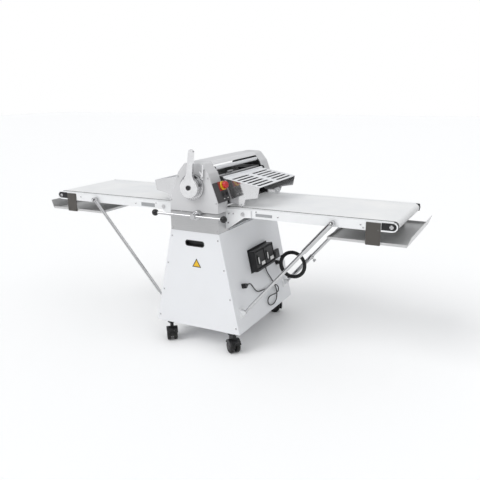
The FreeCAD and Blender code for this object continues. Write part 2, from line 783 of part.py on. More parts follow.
def face_block(y0, y1, z0, z1, out0, out1):
    """A block that lies on the tapered end face between two heights."""
    corners = [face_point(0.0, z0, out0), face_point(0.0, z0, out1), face_point(0.0, z1, out1), face_point(0.0, z1, out0)]
    return prism_xz([(p.x, p.z) for p in corners], y0, y1)


def face_rod(y, z, out0, out1, radius):
    return rod(face_point(y, z, out0), face_point(y, z, out1), radius)


def pedal_bay(index):
    """The two openings of the pedal housing, as (y0, y1)."""
    middle = (pedal_y[0] + pedal_y[1]) / 2.0
    if index == 0:
        return pedal_y[0] + pedal_wall, middle - pedal_wall / 2.0
    return middle + pedal_wall / 2.0, pedal_y[1] - pedal_wall


def make_pedal_box():
    """A housing that is open in front of two pedals, on its mounting plate."""
    out0 = pedal_plate_thickness
    out1 = pedal_plate_thickness + pedal_depth
    shell = face_block(pedal_y[0], pedal_y[1], pedal_z[0], pedal_z[1], out0, out1)
    for index in (0, 1):
        y0, y1 = pedal_bay(index)
        bay = face_block(y0, y1, pedal_z[0] + 12.0, pedal_z[1] - 5.0, out0 + 6.0, out1 + 1.0)
        shell = shell.cut(bay)
        hinge_z = pedal_z[1] - 16.0
        pin = rod(face_point(y0 - 1.0, hinge_z, out1 - 10.0), face_point(y1 + 1.0, hinge_z, out1 - 10.0), 3.0)
        shell = fuse(shell, pin)
    plate = face_block(pedal_y[0] - 4.0, pedal_y[1] + 4.0, pedal_z[0] - 6.0, pedal_z[1] + 10.0, 0.0, out0)
    return [fuse(shell, make_pedal_exit()), plate]


def make_pedal(index):
    y0, y1 = pedal_bay(index)
    y0 += pedal_clearance
    y1 -= pedal_clearance
    out1 = pedal_plate_thickness + pedal_depth
    hinge_z = pedal_z[1] - 16.0
    hub = rod(face_point(y0, hinge_z, out1 - 10.0), face_point(y1, hinge_z, out1 - 10.0), 7.0)
    tread = face_block(y0, y1, pedal_z[0] + 18.0, hinge_z, out1 - 9.0, out1 - 3.0)
    rib = face_block(y0 + 24.0, y0 + 34.0, pedal_z[0] + 36.0, hinge_z - 14.0, out1 - 3.5, out1)
    pad = face_block(y1 - 34.0, y1 - 12.0, pedal_z[0] + 24.0, pedal_z[0] + 44.0, out1 - 3.5, out1 - 1.0)
    pedal = fuse(hub, tread, rib, pad)
    bore = rod(face_point(y0 - 1.0, hinge_z, out1 - 10.0), face_point(y1 + 1.0, hinge_z, out1 - 10.0),
               3.0 + running_clearance)
    return pedal.cut(bore)


def make_socket():
    body = face_block(socket_y[0], socket_y[1], socket_z[0], socket_z[1], 0.0, socket_depth)
    lid = face_block(socket_y[0] + 8.0, socket_y[1] - 8.0, socket_z[0] + 8.0, socket_z[1] - 8.0,
                     socket_depth, socket_depth + 4.0)
    return fuse(body, lid)


def make_gland():
    nut = face_rod(gland_y, gland_z, 0.0, 8.0, gland_radius + 3.0)
    barrel = face_rod(gland_y, gland_z, 7.0, gland_length, gland_radius)
    return fuse(nut, barrel)


def coil_centre():
    reach = gland_length - 1.5 + coil_bundle_radius + coil_radius
    tip = face_point(gland_y, gland_z, 0.0)
    return V(tip.x + reach, gland_y, gland_z)


def make_coil():
    """The tied mains cable: a ring of turns that lies in a plane along X, from the gland outwards."""
    return Part.makeTorus(coil_radius, coil_bundle_radius, coil_centre(), V(0, 1, 0))


def make_strut_bracket():
    """A fork bolted to the end face, with the pin of the strut's foot."""
    ear_in = strut_eye_half_width + strut_ear_gap
    ear_out = ear_in + strut_ear_thickness
    pieces = [face_block(-strut_y - 26.0, -strut_y + 26.0, strut_foot_z - 34.0, strut_foot_z + 22.0, 0.0, 4.0)]
    foot = V(strut_foot_x, -strut_y, strut_foot_z)
    base_low = face_point(0.0, strut_foot_z - 22.0, 2.0)
    base_high = face_point(0.0, strut_foot_z + 12.0, 2.0)
    outline = [(base_low.x, base_low.z), (foot.x + 4.0, foot.z - 11.0), (foot.x + 12.0, foot.z),
               (foot.x + 4.0, foot.z + 11.0), (base_high.x, base_high.z)]
    for side in (-1.0, 1.0):
        y0, y1 = sorted((-strut_y + side * ear_in, -strut_y + side * ear_out))
        pieces.append(prism_xz(outline, y0, y1))
    pieces.append(along_y(foot.x, foot.z, strut_pin_radius, -strut_y - ear_out - 3.0, -strut_y + ear_out + 3.0))
    return fuse(*pieces)


# ---------------------------------------------------------------- cords
pedal_cord_route = [
    (41.0, 399.0, 25.0), (52.0, 380.0, 20.0), (72.0, 356.0, 14.0), (100.0, 327.0, 10.0), (128.0, 293.0, 8.0),
    (151.0, 256.0, 8.0), (163.0, 222.0, 8.0), (156.0, 190.0, 8.0), (134.0, 167.0, 9.0), (101.0, 155.0, 10.0),
    (66.0, 153.0, 10.0), (34.0, 160.0, 10.0), (12.0, 178.0, 10.0), (16.0, 203.0, 11.0), (44.0, 214.0, 12.0),
    (82.0, 212.0, 15.0), (122.0, 208.0, 20.0), (156.0, 214.0, 24.0), (164.0, 240.0, 24.0), (140.0, 262.0, 20.0),
    (100.0, 267.0, 14.0), (52.0, 266.0, 10.0), (2.0, 271.0, 8.0), (-46.0, 276.0, 8.0), (-88.0, 284.0, 9.0),
    (-118.0, 306.0, 10.0), (-143.0, 335.0, 12.0), (-170.0, 362.0, 15.0), (-201.0, 362.0, 15.0),
]


def cord_path(points):
    """Straight runs joined by tangent arcs, each as large as its two runs allow."""
    edges = []
    radii = []
    length = 0.0
    start = points[0]
    for before, corner, after in zip(points, points[1:], points[2:]):
        into = corner - before
        out = after - corner
        turn = into.getAngle(out)
        short = min(into.Length, out.Length)
        radius = 0.45 * short / math.tan(turn / 2.0)
        trim = 0.45 * short
        into_unit = V(into).normalize()
        out_unit = V(out).normalize()
        arc_start = corner - into_unit * trim
        arc_end = corner + out_unit * trim
        bend = (out_unit - into_unit).normalize()
        middle = corner + bend * (radius / math.cos(turn / 2.0) - radius)
        edges.append(Part.LineSegment(start, arc_start).toShape())
        edges.append(Part.Arc(arc_start, middle, arc_end).toShape())
        length += (arc_start - start).Length + radius * turn
        radii.append(radius)
        start = arc_end
    edges.append(Part.LineSegment(start, points[-1]).toShape())
    length += (points[-1] - start).Length
    return Part.Wire(edges), radii, length


def make_cord(name, points, radius):
    wire, radii, length = cord_path(points)
    first_run = (points[1] - points[0]).normalize()
    section = Part.Wire([Part.makeCircle(radius, points[0], first_run)])
    tube = wire.makePipeShell([section], True, False)
    share = tube.Volume / (math.pi * radius * radius * length)
    print(name, "length", round(length, 1), "volume share", round(share, 4), "smallest radius", round(min(radii), 1))
    print(name, "radii", [round(one) for one in radii])
    return tube


def pedal_cord_points():
    return [face_point(y, z, out) for y, z, out in pedal_cord_route]


def make_pedal_exit():
    """The strain relief under the pedal housing, round the start of the cord."""
    points = pedal_cord_points()
    back = (points[0] - points[1]).normalize()
    return rod(points[0], points[0] + back * 8.0, 6.5)


def make_connector():
    """The round connector at the cord's other end, with its socket on the end face."""
    points = pedal_cord_points()
    ahead = (points[-1] - points[-2]).normalize()
    boot = rod(points[-1], points[-1] + ahead * 18.0, 6.0)
    shell_start = points[-1] + ahead * 16.0
    shell = rod(shell_start, shell_start + ahead * 16.0, connector_radius)
    return fuse(boot, shell)


def make_connector_socket():
    points = pedal_cord_points()
    ahead = (points[-1] - points[-2]).normalize()
    face_end = points[-1] + ahead * 32.0
    block_z = face_end.z
    block_y = face_end.y
    return face_block(block_y - 14.0, block_y, block_z - 13.0, block_z + 13.0, 0.0, 28.0)


# ---------------------------------------------------------------- conveyors (built at +X)
def belt_loop(radius, half_depth):
    """The solid inside a belt run round the drive roller and the end roller."""
    low = belt_axis_z - radius
    middle = box(drive_roller_x, end_roller_x, -half_depth, half_depth, low, low + 2.0 * radius)
    ends = [along_y(x, belt_axis_z, radius, -half_depth, half_depth) for x in (drive_roller_x, end_roller_x)]
    return fuse(middle, *ends)


def make_belt():
    return belt_loop(belt_outer_radius, belt_width / 2.0).cut(belt_loop(belt_roller_radius, belt_width / 2.0 + 1.0))


def make_belt_roller(x, shaft_reach):
    half = belt_width / 2.0
    inset = 0.15
    body = along_y(x, belt_axis_z, belt_roller_radius - inset, -half + 1.0, half - 1.0)
    hollow = along_y(x, belt_axis_z, belt_roller_radius - 4.0, -half + 12.0, half - 12.0)
    shaft = along_y(x, belt_axis_z, belt_shaft_radius, -shaft_reach, shaft_reach)
    return fuse(body.cut(hollow), shaft)


def make_rail():
    """One rail at -Y: a channel with a rounded outer end, a take-up window and the shaft's bearings."""
    web_inner = rail_outer_y - rail_thickness
    round_z = belt_axis_z
    web = box(rail_inner_x, end_roller_x, -rail_outer_y, -web_inner, rail_bottom_z, rail_top_z)
    nose = along_y(end_roller_x, round_z, rail_end_radius, -rail_outer_y, -web_inner)
    nose = nose.common(box(end_roller_x - 1.0, end_roller_x + 60.0, -rail_outer_y, -web_inner, rail_bottom_z, rail_top_z))
    web = fuse(web, nose)
    window_radius = rail_end_radius - rail_rim - 2.0
    window = fuse(along_y(end_roller_x, round_z, window_radius, -rail_outer_y - 1.0, -web_inner + 1.0),
                  box(rail_window_inner_x, end_roller_x, -rail_outer_y - 1.0, -web_inner + 1.0,
                      round_z - window_radius, round_z + window_radius))
    web = web.cut(window)
    top = box(rail_inner_x, end_roller_x, -web_inner, -rail_flange_inner_y, rail_top_z - rail_thickness, rail_top_z)
    foot = box(rail_inner_x, end_roller_x - 20.0, -web_inner, -web_inner + 12.0, rail_bottom_z, rail_bottom_z + rail_thickness)
    block_inner = takeup_inner_y
    block_outer = takeup_inner_y + takeup_thickness
    outer_block = box(rail_window_inner_x - 12.0, end_roller_x + 14.0, -block_outer, -block_inner,
                      round_z - 12.0, round_z + 12.0)
    outer_spacer = box(rail_window_inner_x - 12.0, rail_window_inner_x - 1.0, -web_inner, -block_outer,
                       round_z - 12.0, round_z + 12.0)
    cheek_outer = rail_flange_inner_y + bearing_cheek_thickness
    cheek = prism_xz([(drive_roller_x - 13.0, round_z - 12.0), (rail_inner_x + 46.0, round_z - 12.0),
                      (rail_inner_x + 46.0, rail_top_z), (rail_inner_x, rail_top_z), (drive_roller_x - 13.0, round_z + 13.0)],
                     -cheek_outer, -rail_flange_inner_y)
    boss = along_y(fold_x, fold_z, fold_boss_radius, -web_inner, -web_inner + 14.0)
    rail = fuse(web, top, foot, outer_block, outer_spacer, cheek, boss)
    bore = belt_shaft_radius + running_clearance
    bores = [along_y(end_roller_x, round_z, bore, -block_outer - 1.0, -block_inner + 1.0),
             along_y(drive_roller_x, round_z, bore, -cheek_outer - 1.0, -rail_flange_inner_y + 1.0)]
    bores.append(along_y(fold_x, fold_z, fold_pin_radius + running_clearance, -rail_outer_y - 1.0, -web_inner + 15.0))
    return rail.cut(Part.makeCompound(bores))


def make_conveyor_frame():
    rail = make_rail()
    bed_top = belt_top_z - belt_thickness
    bed = box(drive_roller_x + 30.0, end_roller_x - 30.0, -bed_half_width, bed_half_width, bed_top - bed_thickness, bed_top)
    edge = box(drive_roller_x + 30.0, end_roller_x - 30.0, -bed_half_width, -bed_half_width + bed_thickness,
               bed_top - 24.0, bed_top)
    pieces = [rail, mirror_y(rail), bed, edge, mirror_y(edge)]
    web_inner = rail_outer_y - rail_thickness
    tube_top = bed_top - bed_thickness
    for x in cross_tube_places:
        pieces.append(box(x, x + cross_tube_side, -web_inner, web_inner, tube_top - cross_tube_side, tube_top))
    return fuse(*pieces)


def make_gusset():
    """A plate outside the rail, with a flange on the column and the fold pin."""
    inner = rail_outer_y + gusset_gap
    outer = inner + gusset_thickness
    left = housing_half_width
    outline = [(left, rail_top_z - 4.0), (left, gusset_bottom_z), (left + 18.0, gusset_bottom_z + 4.0),
               (fold_x + 8.0, rail_bottom_z - 1.0), (gusset_reach_x, rail_bottom_z + 2.0), (gusset_reach_x, rail_top_z - 4.0)]
    plate = prism_xz(outline, -outer, -inner)
    flange = box(left, left + gusset_thickness, -outer, -side_plate_outer_y - 2.0, gusset_bottom_z, rail_top_z - 4.0)
    pin = along_y(fold_x, fold_z, fold_pin_radius, -outer, -rail_outer_y + 16.0)
    return fuse(plate, flange, pin)


def gusset_bolts():
    outer = rail_outer_y + gusset_gap + gusset_thickness
    bolts = []
    for x, depth in gusset_bolt_places:
        bolts.append(along_y(x, belt_top_z - depth, 5.0, -outer - 2.5, -outer))
    bolts.append(along_y(fold_x, fold_z, fold_pin_radius + 3.0, -outer - 5.0, -outer))
    return bolts


def make_tray():
    """A folded stainless tray with low sides and a sloping outer lip."""
    low = tray_floor_z - tray_sheet
    half = tray_half_depth
    floor = box(tray_inner_x, tray_outer_x, -half, half, low, tray_floor_z)
    lip = prism_xz([(tray_outer_x, low), (tray_lip_x, tray_floor_z + tray_lip_rise), (tray_lip_x - tray_sheet, tray_floor_z + tray_lip_rise),
                    (tray_outer_x - tray_sheet, tray_floor_z)], -half, half)
    inner_lip = box(tray_inner_x, tray_inner_x + tray_sheet, -half, half, low, tray_floor_z + tray_side_height)
    side = box(tray_inner_x, tray_outer_x, -half, -half + tray_sheet, low, tray_floor_z + tray_side_height)
    return fuse(floor, lip, inner_lip, side, mirror_y(side))


def make_tray_bracket():
    """A plate riveted to the rail, with a foot under the tray."""
    outer = rail_outer_y + bracket_thickness
    plate = box(bracket_x[0], bracket_x[1], -outer, -rail_outer_y, bracket_z[0], bracket_z[1])
    corners = edges_along(plate, V(0, 1, 0))
    plate = plate.makeFillet(3.0, corners)
    foot_top = tray_floor_z - tray_sheet
    foot = box(bracket_x[0], bracket_x[1], -rail_outer_y - 1.0, -rail_outer_y + bracket_foot, foot_top - bracket_thickness, foot_top)
    rivets = [along_y(x, belt_top_z - depth, rivet_radius, -outer - 1.5, -outer + 0.5)
              for x in rivet_columns for depth in rivet_depths]
    return fuse(plate, foot, *rivets)


# ---------------------------------------------------------------- struts (built at +X, -Y)
def along_strut(shape):
    """Turn a shape built along +X from the origin onto the strut's line."""
    placed = shape.copy()
    angle = math.degrees(math.atan2(strut_run.z, strut_run.x))
    placed.rotate(V(0, 0, 0), V(0, 1, 0), -angle)
    placed.translate(V(strut_foot_x, -strut_y, strut_foot_z))
    return placed


def make_strut_rod():
    eye = rod(V(0, -strut_eye_half_width, 0), V(0, strut_eye_half_width, 0), strut_eye_radius)
    bar = rod(V(strut_eye_radius * 0.5, 0, 0), V(strut_rod_length, 0, 0), strut_rod_radius)
    bore = rod(V(0, -20, 0), V(0, 20, 0), strut_pin_radius + running_clearance)
    return along_strut(fuse(eye, bar).cut(bore))


def make_strut_tube(with_sleeve, with_thumb_screw):
    top = strut_length
    tube = rod(V(strut_tube_start, 0, 0), V(top, 0, 0), strut_tube_radius)
    bore_radius = strut_rod_radius + strut_slide_clearance
    half = strut_tube_radius + 1.5
    end = rod(V(top, -half, 0), V(top, half, 0), strut_end_radius)
    bolt = rod(V(top, half - 1.0, 0), V(top, strut_y - rail_outer_y - 1.0, 0), strut_pin_radius + 1.0)
    head = rod(V(top, -half - 4.0, 0), V(top, -half + 1.0, 0), strut_eye_radius)
    pieces = [tube, end, bolt, head]
    if with_sleeve:
        pieces.append(rod(V(top - strut_sleeve_length, 0, 0), V(top, 0, 0), strut_sleeve_radius))
    if with_thumb_screw:
        place = thumb_screw_place
        pieces.append(rod(V(strut_tube_start, 0, 0), V(place, 0, 0), strut_lower_sleeve_radius))
        pieces.append(rod(V(place, 0, 0), V(place + collar_length, 0, 0), collar_radius))
        middle = place + collar_length / 2.0
        pieces.append(rod(V(middle, 0, -collar_radius + 2.0), V(middle, 0, -collar_radius - 16.0), 3.0))
        pieces.append(box(middle - 10.0, middle + 10.0, -2.0, 2.0, -collar_radius - 24.0, -collar_radius - 10.0))
    body = fuse(*pieces)
    return along_strut(body.cut(rod(V(0, 0, 0), V(strut_rod_length + 6.0, 0, 0), bore_radius)))


# ---------------------------------------------------------------- guards (built at +X)
def make_guard():
    """A slotted top plate between two cheeks, on a knuckle along the hinge."""
    depth = guard_half_depth
    inner = depth - guard_sheet
    slope = (guard_hinge_z - guard_outer_z) / (guard_outer_x - guard_hinge_x)
    start_x = guard_hinge_x + guard_knuckle_radius * 0.5
    start_z = guard_hinge_z - (start_x - guard_hinge_x) * slope
    top = prism_xz([(start_x, start_z + 1.0), (guard_outer_x, guard_outer_z + 1.0), (guard_outer_x, guard_outer_z - 1.0),
                    (start_x, start_z - 1.0)], -depth, depth)
    span = guard_outer_x - guard_hinge_x
    row_length = (2.0 * depth - 4.0 * 26.0) / slot_rows
    cutters = []
    for index in range(slot_count):
        x = guard_hinge_x + span * (index + 1.35) / (slot_count + 1.4)
        for row in range(slot_rows):
            y0 = -depth + 26.0 + row * (row_length + 52.0)
            cutters.append(box(x, x + slot_width, y0 + slot_width / 2, y0 + row_length - slot_width / 2,
                               guard_outer_z - 30.0, guard_hinge_z + 30.0))
            for y in (y0 + slot_width / 2, y0 + row_length - slot_width / 2):
                cutters.append(Part.makeCylinder(slot_width / 2, 100.0, V(x + slot_width / 2, y, guard_outer_z - 30.0)))
    top = top.cut(Part.makeCompound(cutters))
    knuckle = along_y(guard_hinge_x, guard_hinge_z, guard_knuckle_radius, -depth, depth)
    corners = [(guard_hinge_x, guard_hinge_z)] + [(x, belt_top_z + rise) for x, rise in guard_cheek]
    cheek = prism_xz(corners, -depth, -inner)
    stop = along_y(guard_stop_x, belt_top_z + 0.5 + guard_stop_radius, guard_stop_radius, -depth + 1.0, -depth + 14.0)
    stop = stop.cut(along_y(guard_stop_x, belt_top_z + 0.5 + guard_stop_radius, 6.0, -depth, -depth + 15.0))
    guard = fuse(top, knuckle, cheek, mirror_y(cheek), stop, mirror_y(stop))
    bores = [along_y(guard_hinge_x, guard_hinge_z, guard_pin_radius + running_clearance, y0, y1)
             for y0, y1 in ((-depth - 1.0, -side_plate_inner_y + guard_pin_length + 1.0),
                            (side_plate_inner_y - guard_pin_length - 1.0, depth + 1.0))]
    return guard.cut(Part.makeCompound(bores))


# ---------------------------------------------------------------- casters
def caster_plate(x, y):
    """The square plate that bolts under the cabinet, with the bore for the caster's stem."""
    top = cabinet_bottom_z
    plate = box(x - caster_plate_half, x + caster_plate_half, y - caster_plate_half, y + caster_plate_half,
                top - caster_plate_thickness, top)
    return plate.cut(caster_stem_bore(x, y))


def caster_stem_bore(x, y):
    radius = caster_stem_radius + running_clearance
    return Part.makeCylinder(radius, 30.0, V(x, y, cabinet_bottom_z - 15.0))


def caster_body(x, y):
    """The stem, swivel head, hood and the web between the twin wheels."""
    top = cabinet_bottom_z - caster_plate_thickness - slide_clearance
    swivel = Part.makeCylinder(24.0, 14.0, V(x, y, top - 14.0))
    stem = Part.makeCylinder(caster_stem_radius, cabinet_bottom_z + 10.0 - top + 5.0, V(x, y, top - 5.0))
    clip = Part.makeCylinder(caster_stem_radius + 4.0, 3.0, V(x, y, cabinet_bottom_z + cabinet_wall + slide_clearance))
    half_gap = wheel_gap / 2.0 - 1.0
    wheel_x = x - caster_trail
    web = box(wheel_x - 22.0, x + 22.0, y - half_gap, y + half_gap, wheel_radius - 12.0, top - 8.0)
    hood_radius = wheel_radius + 6.0
    full = wheel_gap / 2.0 + wheel_width + 3.0
    hood = along_y(wheel_x, wheel_radius, hood_radius, y - full, y + full)
    hood = hood.common(box(wheel_x - hood_radius, wheel_x + hood_radius, y - full, y + full,
                           wheel_radius + 16.0, wheel_radius + hood_radius + 1.0))
    hollow = along_y(wheel_x, wheel_radius, wheel_radius + 3.0, y - full + 2.0, y + full - 2.0)
    hood = hood.cut(hollow)
    body = fuse(web, hood, swivel, stem, clip)
    return body.cut(along_y(wheel_x, wheel_radius, caster_axle_radius + running_clearance, y - 60.0, y + 60.0))


def caster_wheels(x, y):
    """Two wheels on one axle."""
    wheel_x = x - caster_trail
    inner = wheel_gap / 2.0
    pieces = [along_y(wheel_x, wheel_radius, caster_axle_radius, y - inner - 2.0, y + inner + 2.0)]
    for side in (-1.0, 1.0):
        y0, y1 = sorted((y + side * inner, y + side * (inner + wheel_width)))
        wheel = along_y(wheel_x, wheel_radius, wheel_radius, y0, y1)
        rims = [one for one in wheel.Edges if isinstance(one.Curve, Part.Circle)]
        pieces.append(wheel.makeFillet(4.0, rims))
    return fuse(*pieces)


def brake_hinge(x):
    """Where the brake pedal turns, ahead of the wheel hood, as (x, z)."""
    return x - caster_trail - wheel_radius - 4.0, wheel_radius + 30.0


def brake_ears(x, y):
    """Two ears on the hood with the brake pedal's pin."""
    hinge_x, hinge_z = brake_hinge(x)
    ears = []
    for side in (-1.0, 1.0):
        y0, y1 = sorted((y + side * 13.0, y + side * 16.0))
        ears.append(prism_xz([(hinge_x - 5.0, hinge_z - 5.0), (hinge_x + 9.0, hinge_z - 5.0),
                              (hinge_x + 9.0, hinge_z + 5.0), (hinge_x - 5.0, hinge_z + 5.0)], y0, y1))
    return ears + [along_y(hinge_x, hinge_z, 2.0, y - 16.0, y + 16.0)]


def make_brake_pedal(x, y):
    hinge_x, hinge_z = brake_hinge(x)
    hub = along_y(hinge_x, hinge_z, 4.5, y - 12.5, y + 12.5)
    tread = prism_xz([(hinge_x, hinge_z - 2.0), (hinge_x, hinge_z + 3.5), (hinge_x - 24.0, hinge_z + 11.5),
                      (hinge_x - 26.0, hinge_z + 7.5)], y - 12.5, y + 12.5)
    return fuse(hub, tread).cut(along_y(hinge_x, hinge_z, 2.0 + running_clearance, y - 13.0, y + 13.0))


def heading(shape, x, y, angle):
    """Swivel a caster's piece about its stem."""
    turned = shape.copy()
    turned.rotate(V(x, y, 0.0), V(0, 0, 1), angle)
    return turned


# ---------------------------------------------------------------- write the nodes
save("cabinet_panels", *both_y(make_panel()))
save("panel_grips", *both_y(make_grip()))
save("head_frame", make_head_frame())
save("head_columns", make_column(True), mirror_y(make_column(False)))
save("front_housing", make_housing(True))
save("rear_housing", mirror_y(make_housing(False)))
save("hood", make_hood())
save("index_ring", make_index_ring(), make_stop_stud())
save("thickness_lever", *make_thickness_lever())
save("stop_lever", make_stop_lever())
save("reversing_handle", *make_reversing_handle())
save("switch_box", *make_switch_box())
save("emergency_button", make_emergency_button())
save("start_button", make_push_button(push_button_spread))
save("stop_button", make_push_button(-push_button_spread))

bearing_front = make_bearing()
save("roller_bearings", bearing_front, mirror_y(bearing_front))
shaft_end = side_plate_inner_y - 4.0 + bearing_thickness - 1.0
save("upper_roller", roller(upper_roller_z, shaft_end, shaft_end))
pulley = along_y(0.0, lower_roller_z, pulley_radius, drive_belt_y, drive_belt_y + drive_belt_width)
save("lower_roller", fuse(roller(lower_roller_z, side_plate_outer_y + 4.0, drive_belt_y + 2.0), pulley))
save("upper_scrapers", make_upper_scraper())
lower_scraper = make_lower_scraper()
save("lower_scrapers", lower_scraper, mirror_x(lower_scraper))
save("drive_motor", make_motor())
save("motor_pulley", make_motor_pulley())
save("drive_belt", make_drive_belt())

save("pedal_box", *make_pedal_box())
save("left_pedal", make_pedal(0))
save("right_pedal", make_pedal(1))
save("pedal_cord", make_cord("pedal_cord", pedal_cord_points(), pedal_cord_radius))
save("pedal_connector", make_connector())
save("sockets", make_socket(), make_connector_socket(), make_gland())
save("mains_coil", make_coil())

gusset = make_gusset()
bracket = make_strut_bracket()
save("gussets", *both_y(gusset), *both_y(mirror_x(gusset)))
screws = panel_screws() + head_screws()
for bolt in gusset_bolts():
    screws += both_y(bolt) + both_y(mirror_x(bolt))
save("machine_screws", *screws)
save("strut_brackets", *both_y(bracket), *both_y(mirror_x(bracket)))

frame = make_conveyor_frame()
belt = make_belt()
drive_roller = make_belt_roller(drive_roller_x, rail_flange_inner_y + bearing_cheek_thickness)
end_roller = make_belt_roller(end_roller_x, takeup_inner_y + takeup_thickness - 1.0)
tray = make_tray()
tray_bracket = make_tray_bracket()
guard = make_guard()
strut_rods = both_y(make_strut_rod())
sleeved = make_strut_tube(True, False)
screwed = make_strut_tube(False, True)
plain = make_strut_tube(False, False)
strut_tubes = {"right": [sleeved, mirror_y(screwed)], "left": [plain, mirror_y(sleeved)]}
for side, place in (("right", lambda shape: shape), ("left", mirror_x)):
    save(side + "_conveyor_frame", place(frame))
    save(side + "_belt", place(belt))
    save(side + "_drive_roller", place(drive_roller))
    save(side + "_end_roller", place(end_roller))
    save(side + "_tray", place(tray), *[place(one) for one in both_y(tray_bracket)])
    save(side + "_guard", place(guard))
    save(side + "_strut_rods", *[place(one) for one in strut_rods])
    save(side + "_strut_tubes", *[place(one) for one in strut_tubes[side]])

shell = make_cabinet_shell()
plates = []
for end, y in (("front", -caster_y), ("rear", caster_y)):
    for side, x in (("left", -caster_x), ("right", caster_x)):
        name = end + "_" + side
        turn = caster_headings[name]
        body = caster_body(x, y)
        if end == "front":
            body = fuse(body, *brake_ears(x, y))
            save(name + "_brake_pedal", heading(make_brake_pedal(x, y), x, y, turn))
        save(name + "_caster", heading(body, x, y, turn))
        save(name + "_wheels", heading(caster_wheels(x, y), x, y, turn))
        plates.append(caster_plate(x, y))
        shell = shell.cut(caster_stem_bore(x, y))
save("cabinet_shell", shell, *plates)
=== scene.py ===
import bpy
import bmesh
import math
from mathutils import Matrix, Vector


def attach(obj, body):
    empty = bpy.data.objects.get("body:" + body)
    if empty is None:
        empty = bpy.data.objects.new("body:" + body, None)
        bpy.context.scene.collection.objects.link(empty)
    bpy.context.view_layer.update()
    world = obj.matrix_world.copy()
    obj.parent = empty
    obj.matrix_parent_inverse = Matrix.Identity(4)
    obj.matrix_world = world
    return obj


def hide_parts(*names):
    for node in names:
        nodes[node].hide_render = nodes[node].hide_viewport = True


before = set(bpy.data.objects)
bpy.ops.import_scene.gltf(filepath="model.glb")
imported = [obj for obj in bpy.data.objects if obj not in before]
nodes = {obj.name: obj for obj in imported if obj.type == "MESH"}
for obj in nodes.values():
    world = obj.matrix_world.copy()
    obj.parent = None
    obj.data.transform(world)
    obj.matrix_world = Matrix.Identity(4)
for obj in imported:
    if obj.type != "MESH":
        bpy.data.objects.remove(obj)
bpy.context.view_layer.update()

# The machine's own frame: +X along the conveyors, -Y the operator's side, Z up.
MIDDLE_Y = 0.0354                  # the cabinet's middle plane, in metres

# Measurements in millimetres, from the cabinet's middle plane.
END_TOP_X = 158.0                  # upper edge of the cabinet's end face
END_TOP_Z = 695.0
TAPER = 123.0 / 575.0              # how far the end face leans out for its height
WALL_RUN, WALL_RISE = 58.0, 156.0  # slope of the housing's side wall
WALL_ANGLE = math.atan(WALL_RUN / WALL_RISE)


def at(x, y, z):
    """A point given in millimetres from the cabinet's middle plane, in the scene's metres."""
    return Vector((x / 1000.0, y / 1000.0 + MIDDLE_Y, z / 1000.0))


# ------------------------------------------------------------------ camera
def place_camera():
    """A camera turned by yaw, pitch and roll in radians, at the operator's right."""
    yaw, pitch, roll = 0.483, 0.256, -0.009
    place = at(1675.9, -3021.6, 1461.4)
    look = Vector((-math.sin(yaw) * math.cos(pitch), math.cos(yaw) * math.cos(pitch), -math.sin(pitch)))
    right = Vector((math.cos(yaw), math.sin(yaw), 0.0))
    up = right.cross(look)
    right_rolled = right * math.cos(roll) + up * math.sin(roll)
    up_rolled = up * math.cos(roll) - right * math.sin(roll)
    data = bpy.data.cameras.new("studio_camera")
    data.lens = 42.97
    data.sensor_width = 36.0
    data.clip_end = 60.0
    camera = bpy.data.objects.new("studio_camera", data)
    bpy.context.collection.objects.link(camera)
    turn = Matrix((right_rolled, up_rolled, -look)).transposed().to_4x4()
    camera.matrix_world = Matrix.Translation(place) @ turn
    bpy.context.scene.camera = camera


place_camera()


# ------------------------------------------------------------------ working helpers
def deselect():
    bpy.ops.object.select_all(action="DESELECT")


def settle(name, body, material, smooth=30.0):
    """Name the active object, put its place in its mesh, give it a finish and hang it on a body."""
    piece = bpy.context.object
    piece.name = name
    bpy.ops.object.transform_apply(location=True, rotation=True, scale=True)
    bpy.ops.object.shade_smooth_by_angle(angle=math.radians(smooth))
    piece.data.materials.clear()
    piece.data.materials.append(material)
    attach(piece, body)
    return piece


def finish_bevel(width, segments=2):
    piece = bpy.context.object
    bevel = piece.modifiers.new("rounded_edges", "BEVEL")
    bevel.width = width
    bevel.segments = segments
    bevel.limit_method = "ANGLE"
    bpy.ops.object.modifier_apply(modifier=bevel.name)


def outward(facing):
    """The rotation that turns local +Z to a direction."""
    return facing.to_track_quat("Z", "Y").to_euler()


def start_block(size, place, turn=(0.0, 0.0, 0.0)):
    deselect()
    bpy.ops.mesh.primitive_cube_add(size=1.0, location=place, rotation=turn, scale=size)
    bpy.ops.object.transform_apply(location=False, rotation=False, scale=True)


def start_disc(radius, depth, place, facing, sides=40):
    deselect()
    bpy.ops.mesh.primitive_cylinder_add(vertices=sides, radius=radius, depth=depth, location=place,
                                        rotation=outward(facing))


def edit_faces(test):
    """Go into edit mode with the faces that pass a test selected."""
    bpy.ops.object.mode_set(mode="EDIT")
    bpy.ops.mesh.select_mode(type="FACE")
    bpy.ops.mesh.select_all(action="DESELECT")
    mesh = bmesh.from_edit_mesh(bpy.context.object.data)
    for face in mesh.faces:
        face.select_set(test(face))
    bmesh.update_edit_mesh(bpy.context.object.data)


def leave_edit():
    bpy.ops.object.mode_set(mode="OBJECT")


def copy_piece(piece, name, body, move=None):
    """A second piece like the first one, with its own mesh; move is a matrix in the scene's frame."""
    twin = piece.copy()
    twin.data = piece.data.copy()
    twin.parent = None
    twin.matrix_world = Matrix.Identity(4)
    twin.name = name
    bpy.context.collection.objects.link(twin)
    if move is not None:
        twin.data.transform(move)
        if move.determinant() < 0.0:
            twin.data.flip_normals()
    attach(twin, body)
    return twin


MIRROR_X = Matrix.Diagonal((-1.0, 1.0, 1.0, 1.0))
MIRROR_Y = Matrix.Translation((0.0, 2.0 * MIDDLE_Y, 0.0)) @ Matrix.Diagonal((1.0, -1.0, 1.0, 1.0))


